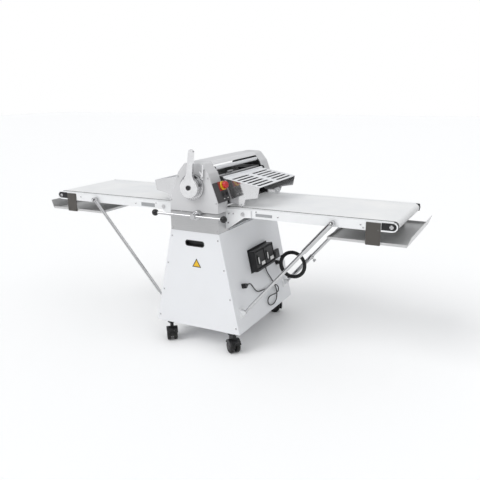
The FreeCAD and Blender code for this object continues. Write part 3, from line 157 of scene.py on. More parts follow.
# ------------------------------------------------------------------ shared shader groups
def new_group(name, inputs, outputs):
    group = bpy.data.node_groups.new(name, "ShaderNodeTree")
    for label, kind, value in inputs:
        socket = group.interface.new_socket(name=label, in_out="INPUT", socket_type=kind)
        socket.default_value = value
    for label, kind in outputs:
        group.interface.new_socket(name=label, in_out="OUTPUT", socket_type=kind)
    return group, group.nodes.new("NodeGroupInput"), group.nodes.new("NodeGroupOutput")


def add_noise(tree, vector, scale, detail=4.0, roughness=0.55):
    noise = tree.nodes.new("ShaderNodeTexNoise")
    noise.inputs["Detail"].default_value = detail
    noise.inputs["Roughness"].default_value = roughness
    if hasattr(scale, "default_value"):
        tree.links.new(scale, noise.inputs["Scale"])
    else:
        noise.inputs["Scale"].default_value = scale
    tree.links.new(vector, noise.inputs["Vector"])
    return noise


def add_ramp(tree, source, low, high, from_colour=(0, 0, 0, 1), to_colour=(1, 1, 1, 1)):
    ramp = tree.nodes.new("ShaderNodeValToRGB")
    ramp.color_ramp.elements[0].position = low
    ramp.color_ramp.elements[1].position = high
    ramp.color_ramp.elements[0].color = from_colour
    ramp.color_ramp.elements[1].color = to_colour
    tree.links.new(source, ramp.inputs["Fac"])
    return ramp


def add_mix(tree, factor, first, second, blend="MIX"):
    """Mix two colours; each of them is a socket or a plain colour."""
    mix = tree.nodes.new("ShaderNodeMix")
    mix.data_type = "RGBA"
    mix.blend_type = blend
    for index, value in ((0, factor), (6, first), (7, second)):
        socket = mix.inputs[index]
        if hasattr(value, "is_linked"):
            tree.links.new(value, socket)
        else:
            socket.default_value = value
    return mix.outputs[2]


def add_math(tree, operation, first, second=0.0):
    node = tree.nodes.new("ShaderNodeMath")
    node.operation = operation
    for index, value in enumerate((first, second)):
        if hasattr(value, "is_linked"):
            tree.links.new(value, node.inputs[index])
        else:
            node.inputs[index].default_value = value
    return node.outputs[0]


def powder_group():
    """Powder coat: an orange-peel height, a soft dust tint and its roughness."""
    group, entry, leave = new_group(
        "powder_coat",
        [("Position", "NodeSocketVector", (0, 0, 0)), ("Colour", "NodeSocketColor", (1, 1, 1, 1)),
         ("Gloss", "NodeSocketFloat", 0.35), ("Dust", "NodeSocketFloat", 0.2)],
        [("Colour", "NodeSocketColor"), ("Roughness", "NodeSocketFloat"), ("Height", "NodeSocketFloat")])
    peel = add_noise(group, entry.outputs["Position"], 420.0, 2.0)
    cloud = add_noise(group, entry.outputs["Position"], 5.0, 5.0)
    patch = add_ramp(group, cloud.outputs["Fac"], 0.42, 0.72)
    amount = add_math(group, "MULTIPLY", patch.outputs["Color"], entry.outputs["Dust"])
    tint = add_mix(group, amount, entry.outputs["Colour"], (0.62, 0.61, 0.58, 1.0))
    speck = add_noise(group, entry.outputs["Position"], 1500.0, 1.0)
    spot = add_ramp(group, speck.outputs["Fac"], 0.72, 0.76, (1, 1, 1, 1), (0.93, 0.93, 0.93, 1))
    tint = add_mix(group, 1.0, tint, spot.outputs["Color"], "MULTIPLY")
    rough = add_math(group, "ADD", entry.outputs["Gloss"], add_math(group, "MULTIPLY", amount, 0.5))
    group.links.new(tint, leave.inputs["Colour"])
    group.links.new(rough, leave.inputs["Roughness"])
    group.links.new(peel.outputs["Fac"], leave.inputs["Height"])
    return group


def brushed_group():
    """Brushed sheet: long fine lines across the stretch, with faint smears."""
    group, entry, leave = new_group(
        "brushed_sheet",
        [("Lines", "NodeSocketVector", (0, 0, 0)), ("Position", "NodeSocketVector", (0, 0, 0)),
         ("Colour", "NodeSocketColor", (0.6, 0.6, 0.6, 1)), ("Gloss", "NodeSocketFloat", 0.3)],
        [("Colour", "NodeSocketColor"), ("Roughness", "NodeSocketFloat"), ("Height", "NodeSocketFloat")])
    lines = add_noise(group, entry.outputs["Lines"], 1.0, 3.0, 0.7)
    shade = add_ramp(group, lines.outputs["Fac"], 0.3, 0.7, (0.86, 0.86, 0.86, 1), (1, 1, 1, 1))
    smear = add_noise(group, entry.outputs["Position"], 7.0, 4.0)
    tone = add_ramp(group, smear.outputs["Fac"], 0.35, 0.7, (0.93, 0.93, 0.93, 1), (1, 1, 1, 1))
    colour = add_mix(group, 1.0, entry.outputs["Colour"], shade.outputs["Color"], "MULTIPLY")
    colour = add_mix(group, 1.0, colour, tone.outputs["Color"], "MULTIPLY")
    streaks = add_math(group, "MULTIPLY", lines.outputs["Fac"], 0.16)
    rough = add_math(group, "ADD", entry.outputs["Gloss"], streaks)
    group.links.new(colour, leave.inputs["Colour"])
    group.links.new(rough, leave.inputs["Roughness"])
    group.links.new(lines.outputs["Fac"], leave.inputs["Height"])
    return group


def moulded_group():
    """Moulded plastic or rubber: a spark-eroded grain and worn, slightly paler patches."""
    group, entry, leave = new_group(
        "moulded_grain",
        [("Position", "NodeSocketVector", (0, 0, 0)), ("Colour", "NodeSocketColor", (0.03, 0.03, 0.03, 1)),
         ("Gloss", "NodeSocketFloat", 0.45), ("Grain", "NodeSocketFloat", 900.0)],
        [("Colour", "NodeSocketColor"), ("Roughness", "NodeSocketFloat"), ("Height", "NodeSocketFloat")])
    grain = add_noise(group, entry.outputs["Position"], entry.outputs["Grain"], 2.0)
    cloud = add_noise(group, entry.outputs["Position"], 22.0, 5.0)
    worn = add_ramp(group, cloud.outputs["Fac"], 0.5, 0.8)
    amount = add_math(group, "MULTIPLY", worn.outputs["Color"], 0.03)
    colour = add_mix(group, amount, entry.outputs["Colour"], (0.5, 0.5, 0.5, 1.0))
    dulling = add_math(group, "MULTIPLY", cloud.outputs["Fac"], 0.14)
    rough = add_math(group, "ADD", entry.outputs["Gloss"], dulling)
    group.links.new(colour, leave.inputs["Colour"])
    group.links.new(rough, leave.inputs["Roughness"])
    group.links.new(grain.outputs["Fac"], leave.inputs["Height"])
    return group


POWDER = powder_group()
BRUSHED = brushed_group()
MOULDED = moulded_group()


def new_material(name, metallic=0.0):
    material = bpy.data.materials.new(name)
    material.use_nodes = True
    tree = material.node_tree
    shader = tree.nodes["Principled BSDF"]
    shader.inputs["Metallic"].default_value = metallic
    place = tree.nodes.new("ShaderNodeTexCoord")
    return material, tree, shader, place.outputs["Object"]


def add_group(tree, group, values, **linked):
    node = tree.nodes.new("ShaderNodeGroup")
    node.node_tree = group
    for label, value in values.items():
        node.inputs[label].default_value = value
    for label, socket in linked.items():
        tree.links.new(socket, node.inputs[label])
    return node


def wire_surface(tree, shader, node, bump, distance):
    tree.links.new(node.outputs["Colour"], shader.inputs["Base Color"])
    tree.links.new(node.outputs["Roughness"], shader.inputs["Roughness"])
    relief = tree.nodes.new("ShaderNodeBump")
    relief.inputs["Strength"].default_value = bump
    relief.inputs["Distance"].default_value = distance
    tree.links.new(node.outputs["Height"], relief.inputs["Height"])
    tree.links.new(relief.outputs["Normal"], shader.inputs["Normal"])


def powder_coat(name, colour, gloss=0.35, dust=0.12):
    material, tree, shader, place = new_material(name)
    node = add_group(tree, POWDER, {"Colour": colour, "Gloss": gloss, "Dust": dust}, Position=place)
    wire_surface(tree, shader, node, 0.08, 0.0004)
    return material


def stretched(tree, place, stretch):
    mapping = tree.nodes.new("ShaderNodeMapping")
    mapping.inputs["Scale"].default_value = stretch
    tree.links.new(place, mapping.inputs["Vector"])
    return mapping.outputs["Vector"]


def brushed_steel(name, colour, gloss, stretch, bump=0.08):
    material, tree, shader, place = new_material(name, 1.0)
    lines = stretched(tree, place, stretch)
    node = add_group(tree, BRUSHED, {"Colour": colour, "Gloss": gloss}, Position=place, Lines=lines)
    wire_surface(tree, shader, node, bump, 0.0002)
    return material


def moulded(name, colour, gloss=0.45, grain=900.0, bump=0.12, coat=0.0):
    material, tree, shader, place = new_material(name)
    shader.inputs["Coat Weight"].default_value = coat
    node = add_group(tree, MOULDED, {"Colour": colour, "Gloss": gloss, "Grain": grain}, Position=place)
    wire_surface(tree, shader, node, bump, 0.0004)
    return material


def axis_mask(tree, place, axis, middle, edge):
    """1 where the distance from a middle plane along an axis, "X" or "Y", is past an edge, else 0."""
    split = tree.nodes.new("ShaderNodeSeparateXYZ")
    tree.links.new(place, split.inputs[0])
    away = add_math(tree, "ABSOLUTE", add_math(tree, "SUBTRACT", split.outputs[axis], middle))
    return add_math(tree, "GREATER_THAN", away, edge)


def mixed_finish(name, axis, middle, edge, inner, outer):
    """Paint inside a mask edge and another finish outside it, on one welded piece."""
    material, tree, shader, place = new_material(name)
    mask = axis_mask(tree, place, axis, middle, edge)
    paint = {"Colour": inner["colour"], "Gloss": inner["gloss"], "Dust": 0.1}
    first = add_group(tree, POWDER, paint, Position=place)
    bare = {"Colour": outer["colour"], "Gloss": outer["gloss"]}
    lines = stretched(tree, place, (900.0, 12.0, 12.0))
    second = add_group(tree, BRUSHED, bare, Position=place, Lines=lines)
    colour = add_mix(tree, mask, first.outputs["Colour"], second.outputs["Colour"])
    rough = tree.nodes.new("ShaderNodeMix")
    tree.links.new(mask, rough.inputs[0])
    tree.links.new(first.outputs["Roughness"], rough.inputs[2])
    tree.links.new(second.outputs["Roughness"], rough.inputs[3])
    metal = add_math(tree, "MULTIPLY_ADD", mask, outer["metal"] - inner["metal"])
    metal.node.inputs[2].default_value = inner["metal"]
    tree.links.new(colour, shader.inputs["Base Color"])
    tree.links.new(rough.outputs[0], shader.inputs["Roughness"])
    tree.links.new(metal, shader.inputs["Metallic"])
    relief = tree.nodes.new("ShaderNodeBump")
    relief.inputs["Strength"].default_value = 0.06
    relief.inputs["Distance"].default_value = 0.0003
    tree.links.new(first.outputs["Height"], relief.inputs["Height"])
    tree.links.new(relief.outputs["Normal"], shader.inputs["Normal"])
    return material


def belt_cloth():
    """Coated belt cloth: a fine plain weave under a pale film, with flour marks, and its edges painted
    near-black as the shade in the gap beside the rails.
    """
    material, tree, shader, place = new_material("belt_cloth")
    waves = []
    for direction in ("X", "Y"):
        wave = tree.nodes.new("ShaderNodeTexWave")
        wave.bands_direction = direction
        wave.inputs["Scale"].default_value = 260.0
        tree.links.new(place, wave.inputs["Vector"])
        waves.append(wave.outputs["Fac"])
    weave = add_math(tree, "MULTIPLY", waves[0], waves[1])
    flour = add_noise(tree, place, 4.0, 6.0)
    tone = add_ramp(tree, flour.outputs["Fac"], 0.35, 0.75, (0.80, 0.81, 0.82, 1), (0.90, 0.90, 0.89, 1))
    thread = add_ramp(tree, weave, 0.0, 1.0, (0.95, 0.95, 0.95, 1), (1, 1, 1, 1))
    colour = add_mix(tree, 1.0, tone.outputs["Color"], thread.outputs["Color"], "MULTIPLY")
    # Painted shade: the belt's edges are coloured near-black for the shade in the gap between belt and
    # rail.
    gap_shade_mask = axis_mask(tree, place, "Y", MIDDLE_Y, BELT_SHADE_EDGE)
    colour = add_mix(tree, gap_shade_mask, colour, (0.10, 0.10, 0.10, 1.0))
    tree.links.new(colour, shader.inputs["Base Color"])
    shader.inputs["Roughness"].default_value = 0.55
    shader.inputs["Sheen Weight"].default_value = 0.08
    relief = tree.nodes.new("ShaderNodeBump")
    relief.inputs["Strength"].default_value = 0.15
    relief.inputs["Distance"].default_value = 0.0003
    tree.links.new(weave, relief.inputs["Height"])
    tree.links.new(relief.outputs["Normal"], shader.inputs["Normal"])
    return material


# Distances from a middle plane where one finish gives way to the next, in metres.
BELT_SHADE_EDGE = 0.2492          # the belt's edges, painted near-black as the shade in the gap beside the rails
GUARD_CHEEK = 0.2495        # the polished cheeks of a guard
HEAD_PLATE = 0.2615         # the dark outer faces of the head's side plates
TRAY_SIDE = 0.2835          # the dark brackets beside a tray
HANDLE_MIDDLE_X = -0.0015   # the reversing handle's own middle
HANDLE_BALL = 0.2025        # the handle's black balls

WHITE = powder_coat("white_powder_coat", (0.84, 0.85, 0.86, 1.0), 0.30)
CABINET_WHITE = powder_coat("cabinet_white_coat", (0.78, 0.79, 0.81, 1.0), 0.38, 0.06)
PALE_GREY = powder_coat("pale_grey_coat", (0.63, 0.63, 0.64, 1.0), 0.30, 0.1)
HOOD_COAT = powder_coat("hood_coat", (0.72, 0.72, 0.73, 1.0), 0.30, 0.08)
STEEL_SHEET = brushed_steel("stainless_sheet", (0.56, 0.56, 0.565, 1.0), 0.26,
                            stretch=(14.0, 14.0, 700.0))
TURNED = brushed_steel("turned_steel", (0.62, 0.62, 0.63, 1.0), 0.16,
                       stretch=(500.0, 30.0, 500.0), bump=0.04)
TUBE = brushed_steel("plated_tube", (0.66, 0.66, 0.67, 1.0), 0.08,
                     stretch=(60.0, 60.0, 60.0), bump=0.02)
CHROME = brushed_steel("polished_chrome", (0.84, 0.84, 0.85, 1.0), 0.05,
                       stretch=(40.0, 40.0, 40.0), bump=0.01)
CASTING = moulded("motor_casting", (0.10, 0.14, 0.18, 1.0), 0.5, 260.0, 0.3)
BLACK = moulded("black_plastic", (0.006, 0.006, 0.007, 1.0), 0.34)
DARK_GREY = moulded("dark_grey_plastic", (0.040, 0.038, 0.040, 1.0), 0.42)
RUBBER = moulded("black_rubber", (0.009, 0.009, 0.009, 1.0), 0.6, 500.0, 0.25)
SHEATH = moulded("cable_sheath", (0.007, 0.007, 0.008, 1.0), 0.42, 1400.0, 0.05)
RED = moulded("red_plastic", (0.55, 0.012, 0.015, 1.0), 0.22, 1200.0, 0.03, 0.4)
DARK_RED = moulded("dark_red_plastic", (0.26, 0.012, 0.015, 1.0), 0.35)
YELLOW = moulded("yellow_plastic", (0.80, 0.48, 0.015, 1.0), 0.32, 1200.0, 0.03)
LABEL = moulded("plain_label", (0.34, 0.35, 0.36, 1.0), 0.35, 1600.0, 0.02)
WHITE_PLASTIC = moulded("white_plastic", (0.74, 0.74, 0.73, 1.0), 0.35)
BELT = belt_cloth()
GUARD = mixed_finish("guard_sheet", "Y", MIDDLE_Y, GUARD_CHEEK,
                     inner={"colour": (0.80, 0.81, 0.83, 1.0), "gloss": 0.3, "metal": 0.0},
                     outer={"colour": (0.74, 0.74, 0.75, 1.0), "gloss": 0.02, "metal": 0.85})
TRAY = mixed_finish("tray_and_brackets", "Y", MIDDLE_Y, TRAY_SIDE,
                    inner={"colour": (0.58, 0.58, 0.58, 1.0), "gloss": 0.32, "metal": 0.55},
                    outer={"colour": (0.105, 0.098, 0.09, 1.0), "gloss": 0.3, "metal": 0.4})
HANDLE = mixed_finish("handle_and_balls", "X", HANDLE_MIDDLE_X, HANDLE_BALL,
                      inner={"colour": (0.50, 0.50, 0.51, 1.0), "gloss": 0.06, "metal": 1.0},
                      outer={"colour": (0.006, 0.006, 0.007, 1.0), "gloss": 0.2, "metal": 0.0})
HEAD = mixed_finish("head_plates", "Y", MIDDLE_Y, HEAD_PLATE,
                    inner={"colour": (0.74, 0.75, 0.77, 1.0), "gloss": 0.3, "metal": 0.0},
                    outer={"colour": (0.03, 0.03, 0.032, 1.0), "gloss": 0.3, "metal": 0.2})

FINISHES = {
    "cabinet_shell": CABINET_WHITE, "cabinet_panels": CABINET_WHITE, "panel_grips": BLACK,
    "machine_screws": TURNED, "head_frame": HEAD, "head_columns": STEEL_SHEET,
    "front_housing": PALE_GREY, "rear_housing": PALE_GREY, "hood": HOOD_COAT,
    "index_ring": TURNED, "switch_box": DARK_GREY, "lower_scrapers": STEEL_SHEET,
    "drive_motor": CASTING, "drive_belt": RUBBER, "motor_pulley": TURNED,
    "pedal_box": BLACK, "pedal_connector": BLACK, "sockets": BLACK,
    "gussets": WHITE, "strut_brackets": WHITE, "thickness_lever": CHROME,
    "stop_lever": CHROME, "reversing_handle": HANDLE, "emergency_button": RED,
    "start_button": BLACK, "stop_button": BLACK, "roller_bearings": TURNED,
    "upper_scrapers": STEEL_SHEET, "upper_roller": CHROME, "lower_roller": CHROME,
    "left_pedal": BLACK, "right_pedal": BLACK, "pedal_cord": SHEATH, "mains_coil": SHEATH,
}
CONVEYOR_FINISHES = {
    "_conveyor_frame": WHITE, "_belt": BELT, "_drive_roller": TURNED, "_end_roller": TURNED,
    "_tray": TRAY, "_guard": GUARD, "_strut_rods": TURNED, "_strut_tubes": TUBE,
}
for side in ("left", "right"):
    FINISHES.update({side + ending: finish for ending, finish in CONVEYOR_FINISHES.items()})
    FINISHES["front_" + side + "_brake_pedal"] = BLACK
    for end in ("front", "rear"):
        FINISHES[end + "_" + side + "_caster"] = BLACK
        FINISHES[end + "_" + side + "_wheels"] = RUBBER
for node, finish in FINISHES.items():
    for slot in nodes[node].material_slots:
        slot.material = finish


# ------------------------------------------------------------------ cables
def face_point(y, z, out):
    """A point at a height on the right end face and a distance out of it, in millimetres."""
    stretch = math.sqrt(1.0 + TAPER * TAPER)
    return at(END_TOP_X + (END_TOP_Z - z) * TAPER + out / stretch, y, z + out * TAPER / stretch)


PEDAL_CORD_DIAMETER = 0.0066
PEDAL_CORD = [
    (41.0, 399.0, 25.0), (52.0, 380.0, 20.0), (72.0, 356.0, 14.0), (100.0, 327.0, 10.0),
    (128.0, 293.0, 8.0), (151.0, 256.0, 8.0), (163.0, 222.0, 8.0), (156.0, 190.0, 8.0),
    (134.0, 167.0, 9.0), (101.0, 155.0, 10.0), (66.0, 153.0, 10.0), (34.0, 160.0, 10.0),
    (12.0, 178.0, 10.0), (16.0, 203.0, 11.0), (44.0, 214.0, 12.0), (82.0, 212.0, 15.0),
    (122.0, 208.0, 20.0), (156.0, 214.0, 24.0), (164.0, 240.0, 24.0), (140.0, 262.0, 20.0),
    (100.0, 267.0, 14.0), (52.0, 266.0, 10.0), (2.0, 271.0, 8.0), (-46.0, 276.0, 8.0),
    (-88.0, 284.0, 9.0), (-118.0, 306.0, 10.0), (-143.0, 335.0, 12.0), (-170.0, 362.0, 15.0),
    (-201.0, 362.0, 15.0),
]

MAINS_CABLE_DIAMETER = 0.0086
GLAND_Y, GLAND_Z = 245.0, 376.0
GLAND_MOUTH = 17.0           # how far out of the end face the cable leaves the gland, in millimetres
GLAND_LENGTH = 0.0185
COIL_RADIUS = 0.084
COIL_HALF_WIDTH = 0.0140     # half the thickness of the tied bundle
COIL_STEPS = 12              # points to a turn
COIL_BUNDLE = ((0.0, 0.0), (8.0, 4.2), (8.0, -4.2), (-8.0, 4.2), (-8.0, -4.2), (0.0, 8.4), (0.0, -8.4))
TIE_RADIUS = 0.0139
TIE_WIDTH = 0.008
TIE_THICKNESS = 0.0010
TIE_ANGLES = (0.9, 2.6, 4.4)


def make_cable(name, points, diameter, body, material):
    """A round cable on one smooth curve, which ends at its first and last point."""
    data = bpy.data.curves.new(name, "CURVE")
    data.dimensions = "3D"
    data.bevel_depth = diameter / 2.0
    data.bevel_resolution = 5
    data.use_fill_caps = True
    data.resolution_u = 8
    spline = data.splines.new("NURBS")
    spline.points.add(len(points) - 1)
    for slot, point in zip(spline.points, points):
        slot.co = (point.x, point.y, point.z, 1.0)
    spline.order_u = 3
    spline.use_endpoint_u = True
    cable = bpy.data.objects.new(name, data)
    bpy.context.collection.objects.link(cable)
    data.materials.append(material)
    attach(cable, body)
    return cable


def curve_length(cable):
    """The length of a cable's centre line."""
    plain = cable.copy()
    plain.data = cable.data.copy()
    plain.data.bevel_depth = 0.0
    bpy.context.collection.objects.link(plain)
    bpy.context.view_layer.update()
    mesh = bpy.data.meshes.new_from_object(plain)
    places = [v.co.copy() for v in mesh.vertices]
    bpy.data.objects.remove(plain)
    bpy.data.meshes.remove(mesh)
    return sum((b - a).length for a, b in zip(places, places[1:]))


def make_pedal_cord():
    points = [face_point(*one) for one in PEDAL_CORD]
    cord = make_cable("pedal_cable", points, PEDAL_CORD_DIAMETER, "machine", SHEATH)
    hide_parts("pedal_cord")
    curve_length(cord)


def coil_points(centre):
    """Turns that lie beside and on each other; each one slides over to the next one's place."""
    points = []
    for turn, (across, out) in enumerate(COIL_BUNDLE):
        following = COIL_BUNDLE[(turn + 1) % len(COIL_BUNDLE)]
        for step in range(COIL_STEPS):
            share = step / COIL_STEPS
            angle = math.pi + 2.0 * math.pi * (step + 1) / COIL_STEPS
            reach = COIL_RADIUS + (across * (1.0 - share) + following[0] * share) / 1000.0
            side = (out * (1.0 - share) + following[1] * share) / 1000.0
            points.append(centre + Vector((reach * math.cos(angle), side, reach * math.sin(angle))))
    return points


def make_coil_tie(name, centre, angle):
    """A thin strap round the coil's bundle."""
    out = Vector((math.cos(angle), 0.0, math.sin(angle)))
    along = Vector((-math.sin(angle), 0.0, math.cos(angle)))
    deselect()
    bpy.ops.mesh.primitive_cylinder_add(vertices=28, radius=TIE_RADIUS, depth=TIE_WIDTH,
                                        location=centre + out * COIL_RADIUS,
                                        rotation=outward(along), end_fill_type="NOTHING")
    strap = bpy.context.object.modifiers.new("strap_thickness", "SOLIDIFY")
    strap.thickness = TIE_THICKNESS
    strap.offset = 0.0
    bpy.ops.object.modifier_apply(modifier=strap.name)
    finish_bevel(0.0002, 1)
    tie = settle(name, "machine", BLACK)
    return tie


def make_mains_cable():
    """The tied coil: seven turns, straight out of the gland."""
    tip = face_point(GLAND_Y, GLAND_Z, 0.0)
    centre = Vector((tip.x + GLAND_LENGTH + COIL_HALF_WIDTH + COIL_RADIUS, tip.y, tip.z))
    lead_in = centre + Vector((-COIL_RADIUS - 0.004, 0.0, 0.0))
    points = [face_point(GLAND_Y, GLAND_Z, GLAND_MOUTH), lead_in] + coil_points(centre)
    cable = make_cable("mains_cable", points, MAINS_CABLE_DIAMETER, "machine", SHEATH)
    ties = [make_coil_tie("coil_tie_%d" % (index + 1), centre, angle)
            for index, angle in enumerate(TIE_ANGLES)]
    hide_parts("mains_coil")
    curve_length(cable)


make_pedal_cord()
make_mains_cable()


# ------------------------------------------------------------------ labels and small signs
def make_warning_triangle():
    """A plain yellow triangle with a dark border, on the front panel."""
    centre = at(9.0, -376.5, 505.0)
    border = 0.0045
    deselect()
    bpy.ops.mesh.primitive_circle_add(vertices=3, radius=0.034, fill_type="NGON", location=centre,
                                      rotation=(math.radians(90.0), 0.0, 0.0))
    bpy.ops.object.mode_set(mode="EDIT")
    bpy.ops.mesh.select_all(action="SELECT")
    bpy.ops.mesh.inset(thickness=border)
    leave_edit()
    piece = bpy.context.object
    plate = piece.modifiers.new("plate_thickness", "SOLIDIFY")
    plate.thickness = 0.0006
    plate.offset = 1.0
    bpy.ops.object.modifier_apply(modifier=plate.name)
    piece = settle("warning_triangle", "machine", BLACK)
    piece.data.materials.append(YELLOW)
    for face in piece.data.polygons:
        away = math.hypot(face.center.x - centre.x, face.center.z - centre.z)
        if abs(face.normal.y) > 0.9 and away < 0.003:
            face.material_index = 1


RAIL_FACE_Y = -285.0    # the rails' outer face on the operator's side


def make_label(name, body, x_range, z_range):
    """A plain printed strip on a rail's outer face, with a raised border."""
    x0, x1 = x_range
    z0, z1 = z_range
    size = ((x1 - x0) / 1000.0, 0.0012, (z1 - z0) / 1000.0)
    start_block(size, at((x0 + x1) / 2.0, RAIL_FACE_Y - 0.6, (z0 + z1) / 2.0))
    edit_faces(lambda face: face.normal.y < -0.9)
    bpy.ops.mesh.inset(thickness=0.0012)
    bpy.ops.transform.translate(value=(0.0, 0.0003, 0.0))
    leave_edit()
    finish_bevel(0.0002, 1)
    piece = settle(name, body, LABEL)


make_warning_triangle()
make_label("right_rail_label", "right_conveyor", (338.0, 436.0), (795.0, 811.0))
make_label("left_rail_label", "left_conveyor", (-428.0, -330.0), (791.0, 813.0))


# ------------------------------------------------------------------ screws and rivets of the conveyors
def make_dome(name, body, place, facing, radius, height):
    """A domed head with a round recess."""
    start_disc(radius, height, place + facing * height / 2.0, facing, 20)
    edit_faces(lambda face: face.normal.z > 0.9 and len(face.verts) > 6)
    bpy.ops.mesh.inset(thickness=radius * 0.30)
    inward = facing * height * 0.35
    bpy.ops.transform.translate(value=tuple(inward))
    bpy.ops.mesh.inset(thickness=radius * 0.28)
    bpy.ops.transform.translate(value=tuple(-inward * 1.6))
    leave_edit()
    piece = settle(name, body, TURNED, 40.0)
    return piece


FRONT = Vector((0.0, -1.0, 0.0))
SCREW_RADIUS, SCREW_HEIGHT = 0.0042, 0.0024
RAIL_SCREWS = {
    "right_conveyor": ((341.0, 820.0), (470.0, 803.0), (919.0, 809.0), (933.0, 795.0), (1008.0, 790.0)),
    "left_conveyor": ((-319.0, 817.0), (-241.0, 799.0), (-470.0, 803.0), (-906.0, 808.0),
                      (-1008.0, 790.0)),
}


def make_rail_screws():
    """One screw modelled at the first place and copied to the others, on both rails."""
    first_screw = None
    for body, places in RAIL_SCREWS.items():
        for index, (x, z) in enumerate(places):
            place = at(x, RAIL_FACE_Y, z)
            name = "%s_rail_screw_%d" % (body.split("_")[0], index + 1)
            if first_screw is None:
                first_screw = make_dome(name, body, place, FRONT, SCREW_RADIUS, SCREW_HEIGHT)
                first_place = place
            else:
                copy_piece(first_screw, name, body, Matrix.Translation(place - first_place))
            across = MIRROR_Y @ Matrix.Translation(place - first_place)
            copy_piece(first_screw, name + "_rear", body, across)


make_rail_screws()


# ------------------------------------------------------------------ take-up slots filled with painted shade, and strut pivots
def make_takeup_slot_shade(body):
    """A black plate in the rail's end window, painted shade standing for the dark inside of the slot, with
    the belt's tension screw.
    """
    # Painted shade: a black plate fills the rail's take-up slot, where there is only shade.
    start_block((0.078, 0.0015, 0.040), at(1060.0, RAIL_FACE_Y + 3.8, 808.5))
    finish_bevel(0.0005, 2)
    slot_shade = settle("right_takeup_insert", body, BLACK)
    screw_place = at(1072.0, RAIL_FACE_Y + 3.0, 809.0)
    screw = make_dome("right_takeup_screw", body, screw_place, FRONT, 0.0105, 0.0026)
    return slot_shade, screw


def make_strut_pivot(name, body, place):
    """A dark washer with a domed screw on the strut's upper pin."""
    start_disc(0.0098, 0.0010, place, FRONT, 36)
    finish_bevel(0.0003, 1)
    washer = settle(name + "_washer", body, DARK_GREY)
    screw = make_dome(name + "_screw", body, place + FRONT * 0.0005, FRONT, 0.0066, 0.0030)
    return washer, screw


def make_takeups():
    slot_shade, screw = make_takeup_slot_shade("right_conveyor")
    copy_piece(slot_shade, "right_takeup_insert_rear", "right_conveyor", MIRROR_Y)
    copy_piece(screw, "right_takeup_screw_rear", "right_conveyor", MIRROR_Y)
    for piece in (slot_shade, screw):
        base = piece.name.replace("right_", "left_")
        copy_piece(piece, base, "left_conveyor", MIRROR_X)
        copy_piece(piece, base + "_rear", "left_conveyor", MIRROR_X @ MIRROR_Y)


def make_strut_pivots():
    upper_pin = at(776.0, -321.0, 805.0)
    for piece in make_strut_pivot("right_strut_pivot", "right_strut_tubes", upper_pin):
        base = piece.name.replace("right_", "left_")
        copy_piece(piece, piece.name + "_rear", "right_strut_tubes", MIRROR_Y)
        copy_piece(piece, base, "left_strut_tubes", MIRROR_X)
        copy_piece(piece, base + "_rear", "left_strut_tubes", MIRROR_X @ MIRROR_Y)


make_takeups()
make_strut_pivots()


# ------------------------------------------------------------------ lever, dial and switches
DIAL_Z = 950.0
LEVER_FACE_Y = -429.0
RING_FACE_Y = -394.2
TICK_CIRCLE = 66.5
TICK_COUNT = 30


def make_lever_cap():
    """The recessed cap over the lever's screw."""
    start_disc(0.0138, 0.0036, at(0.0, LEVER_FACE_Y, DIAL_Z), FRONT, 36)
    edit_faces(lambda face: face.normal.z > 0.9 and len(face.verts) > 6)
    bpy.ops.mesh.inset(thickness=0.003)
    bpy.ops.transform.translate(value=(0.0, -0.0012, 0.0))
    leave_edit()
    finish_bevel(0.0005)
    cap = settle("lever_cap", "thickness_lever", BLACK)


def make_dial_ticks():
    """Raised marks round the index ring's front."""
    start_block((0.0016, 0.0008, 0.006), at(0.0, RING_FACE_Y, DIAL_Z + TICK_CIRCLE))
    finish_bevel(0.0002, 1)
    tick = settle("dial_tick_01", "machine", BLACK)
    centre = at(0.0, RING_FACE_Y, DIAL_Z)
    for index in range(1, TICK_COUNT):
        angle = 2.0 * math.pi * index / TICK_COUNT
        turn = Matrix.Translation(centre) @ Matrix.Rotation(angle, 4, "Y") @ Matrix.Translation(-centre)
        copy_piece(tick, "dial_tick_%02d" % (index + 1), "machine", turn)


SWITCH_Y, SWITCH_Z = -330.0, 919.0    # middle of the switch box on the housing's side wall
WALL_FOOT_X, WALL_FOOT_Z = 156.0, 868.0
SWITCH_LID = 34.6                     # how far the lid stands out of the wall
SWITCH_FACING = Vector((math.cos(WALL_ANGLE), 0.0, math.sin(WALL_ANGLE)))


def switch_place(out, across, rise):
    """A point on the switch box: out of the wall, along Y and up the slope, in millimetres."""
    base_x = WALL_FOOT_X - (SWITCH_Z - WALL_FOOT_Z) * WALL_RUN / WALL_RISE
    x = base_x + out * math.cos(WALL_ANGLE) - rise * math.sin(WALL_ANGLE)
    z = SWITCH_Z + out * math.sin(WALL_ANGLE) + rise * math.cos(WALL_ANGLE)
    return at(x, SWITCH_Y + across, z)


def make_switch_details():
    """The red strip behind the emergency stop, its yellow collar and a mark under each button."""
    turn = (0.0, -WALL_ANGLE, 0.0)
    start_block((0.0014, 0.080, 0.050), switch_place(SWITCH_LID, 0.0, 30.0), turn)
    finish_bevel(0.0004, 2)
    strip = settle("switch_red_strip", "machine", DARK_RED)
    start_disc(0.0245, 0.0076, switch_place(38.6, 0.0, 30.0), SWITCH_FACING, 44)
    edit_faces(lambda face: len(face.verts) > 6)
    bpy.ops.mesh.inset(thickness=0.006)
    leave_edit()
    finish_bevel(0.0008)
    collar = settle("stop_button_collar", "machine", YELLOW)
    for index, across in enumerate((-20.0, 20.0)):
        start_block((0.0008, 0.012, 0.004), switch_place(SWITCH_LID, across, -40.0), turn)
        finish_bevel(0.0002, 1)
        mark = settle("switch_mark_%d" % (index + 1), "machine", WHITE_PLASTIC)


make_lever_cap()
make_dial_ticks()
make_switch_details()


# ------------------------------------------------------------------ foot pedals
PEDALS = {"left_pedal": (-96.0, 24.0), "right_pedal": (28.0, 148.0)}    # each pedal's ends along Y


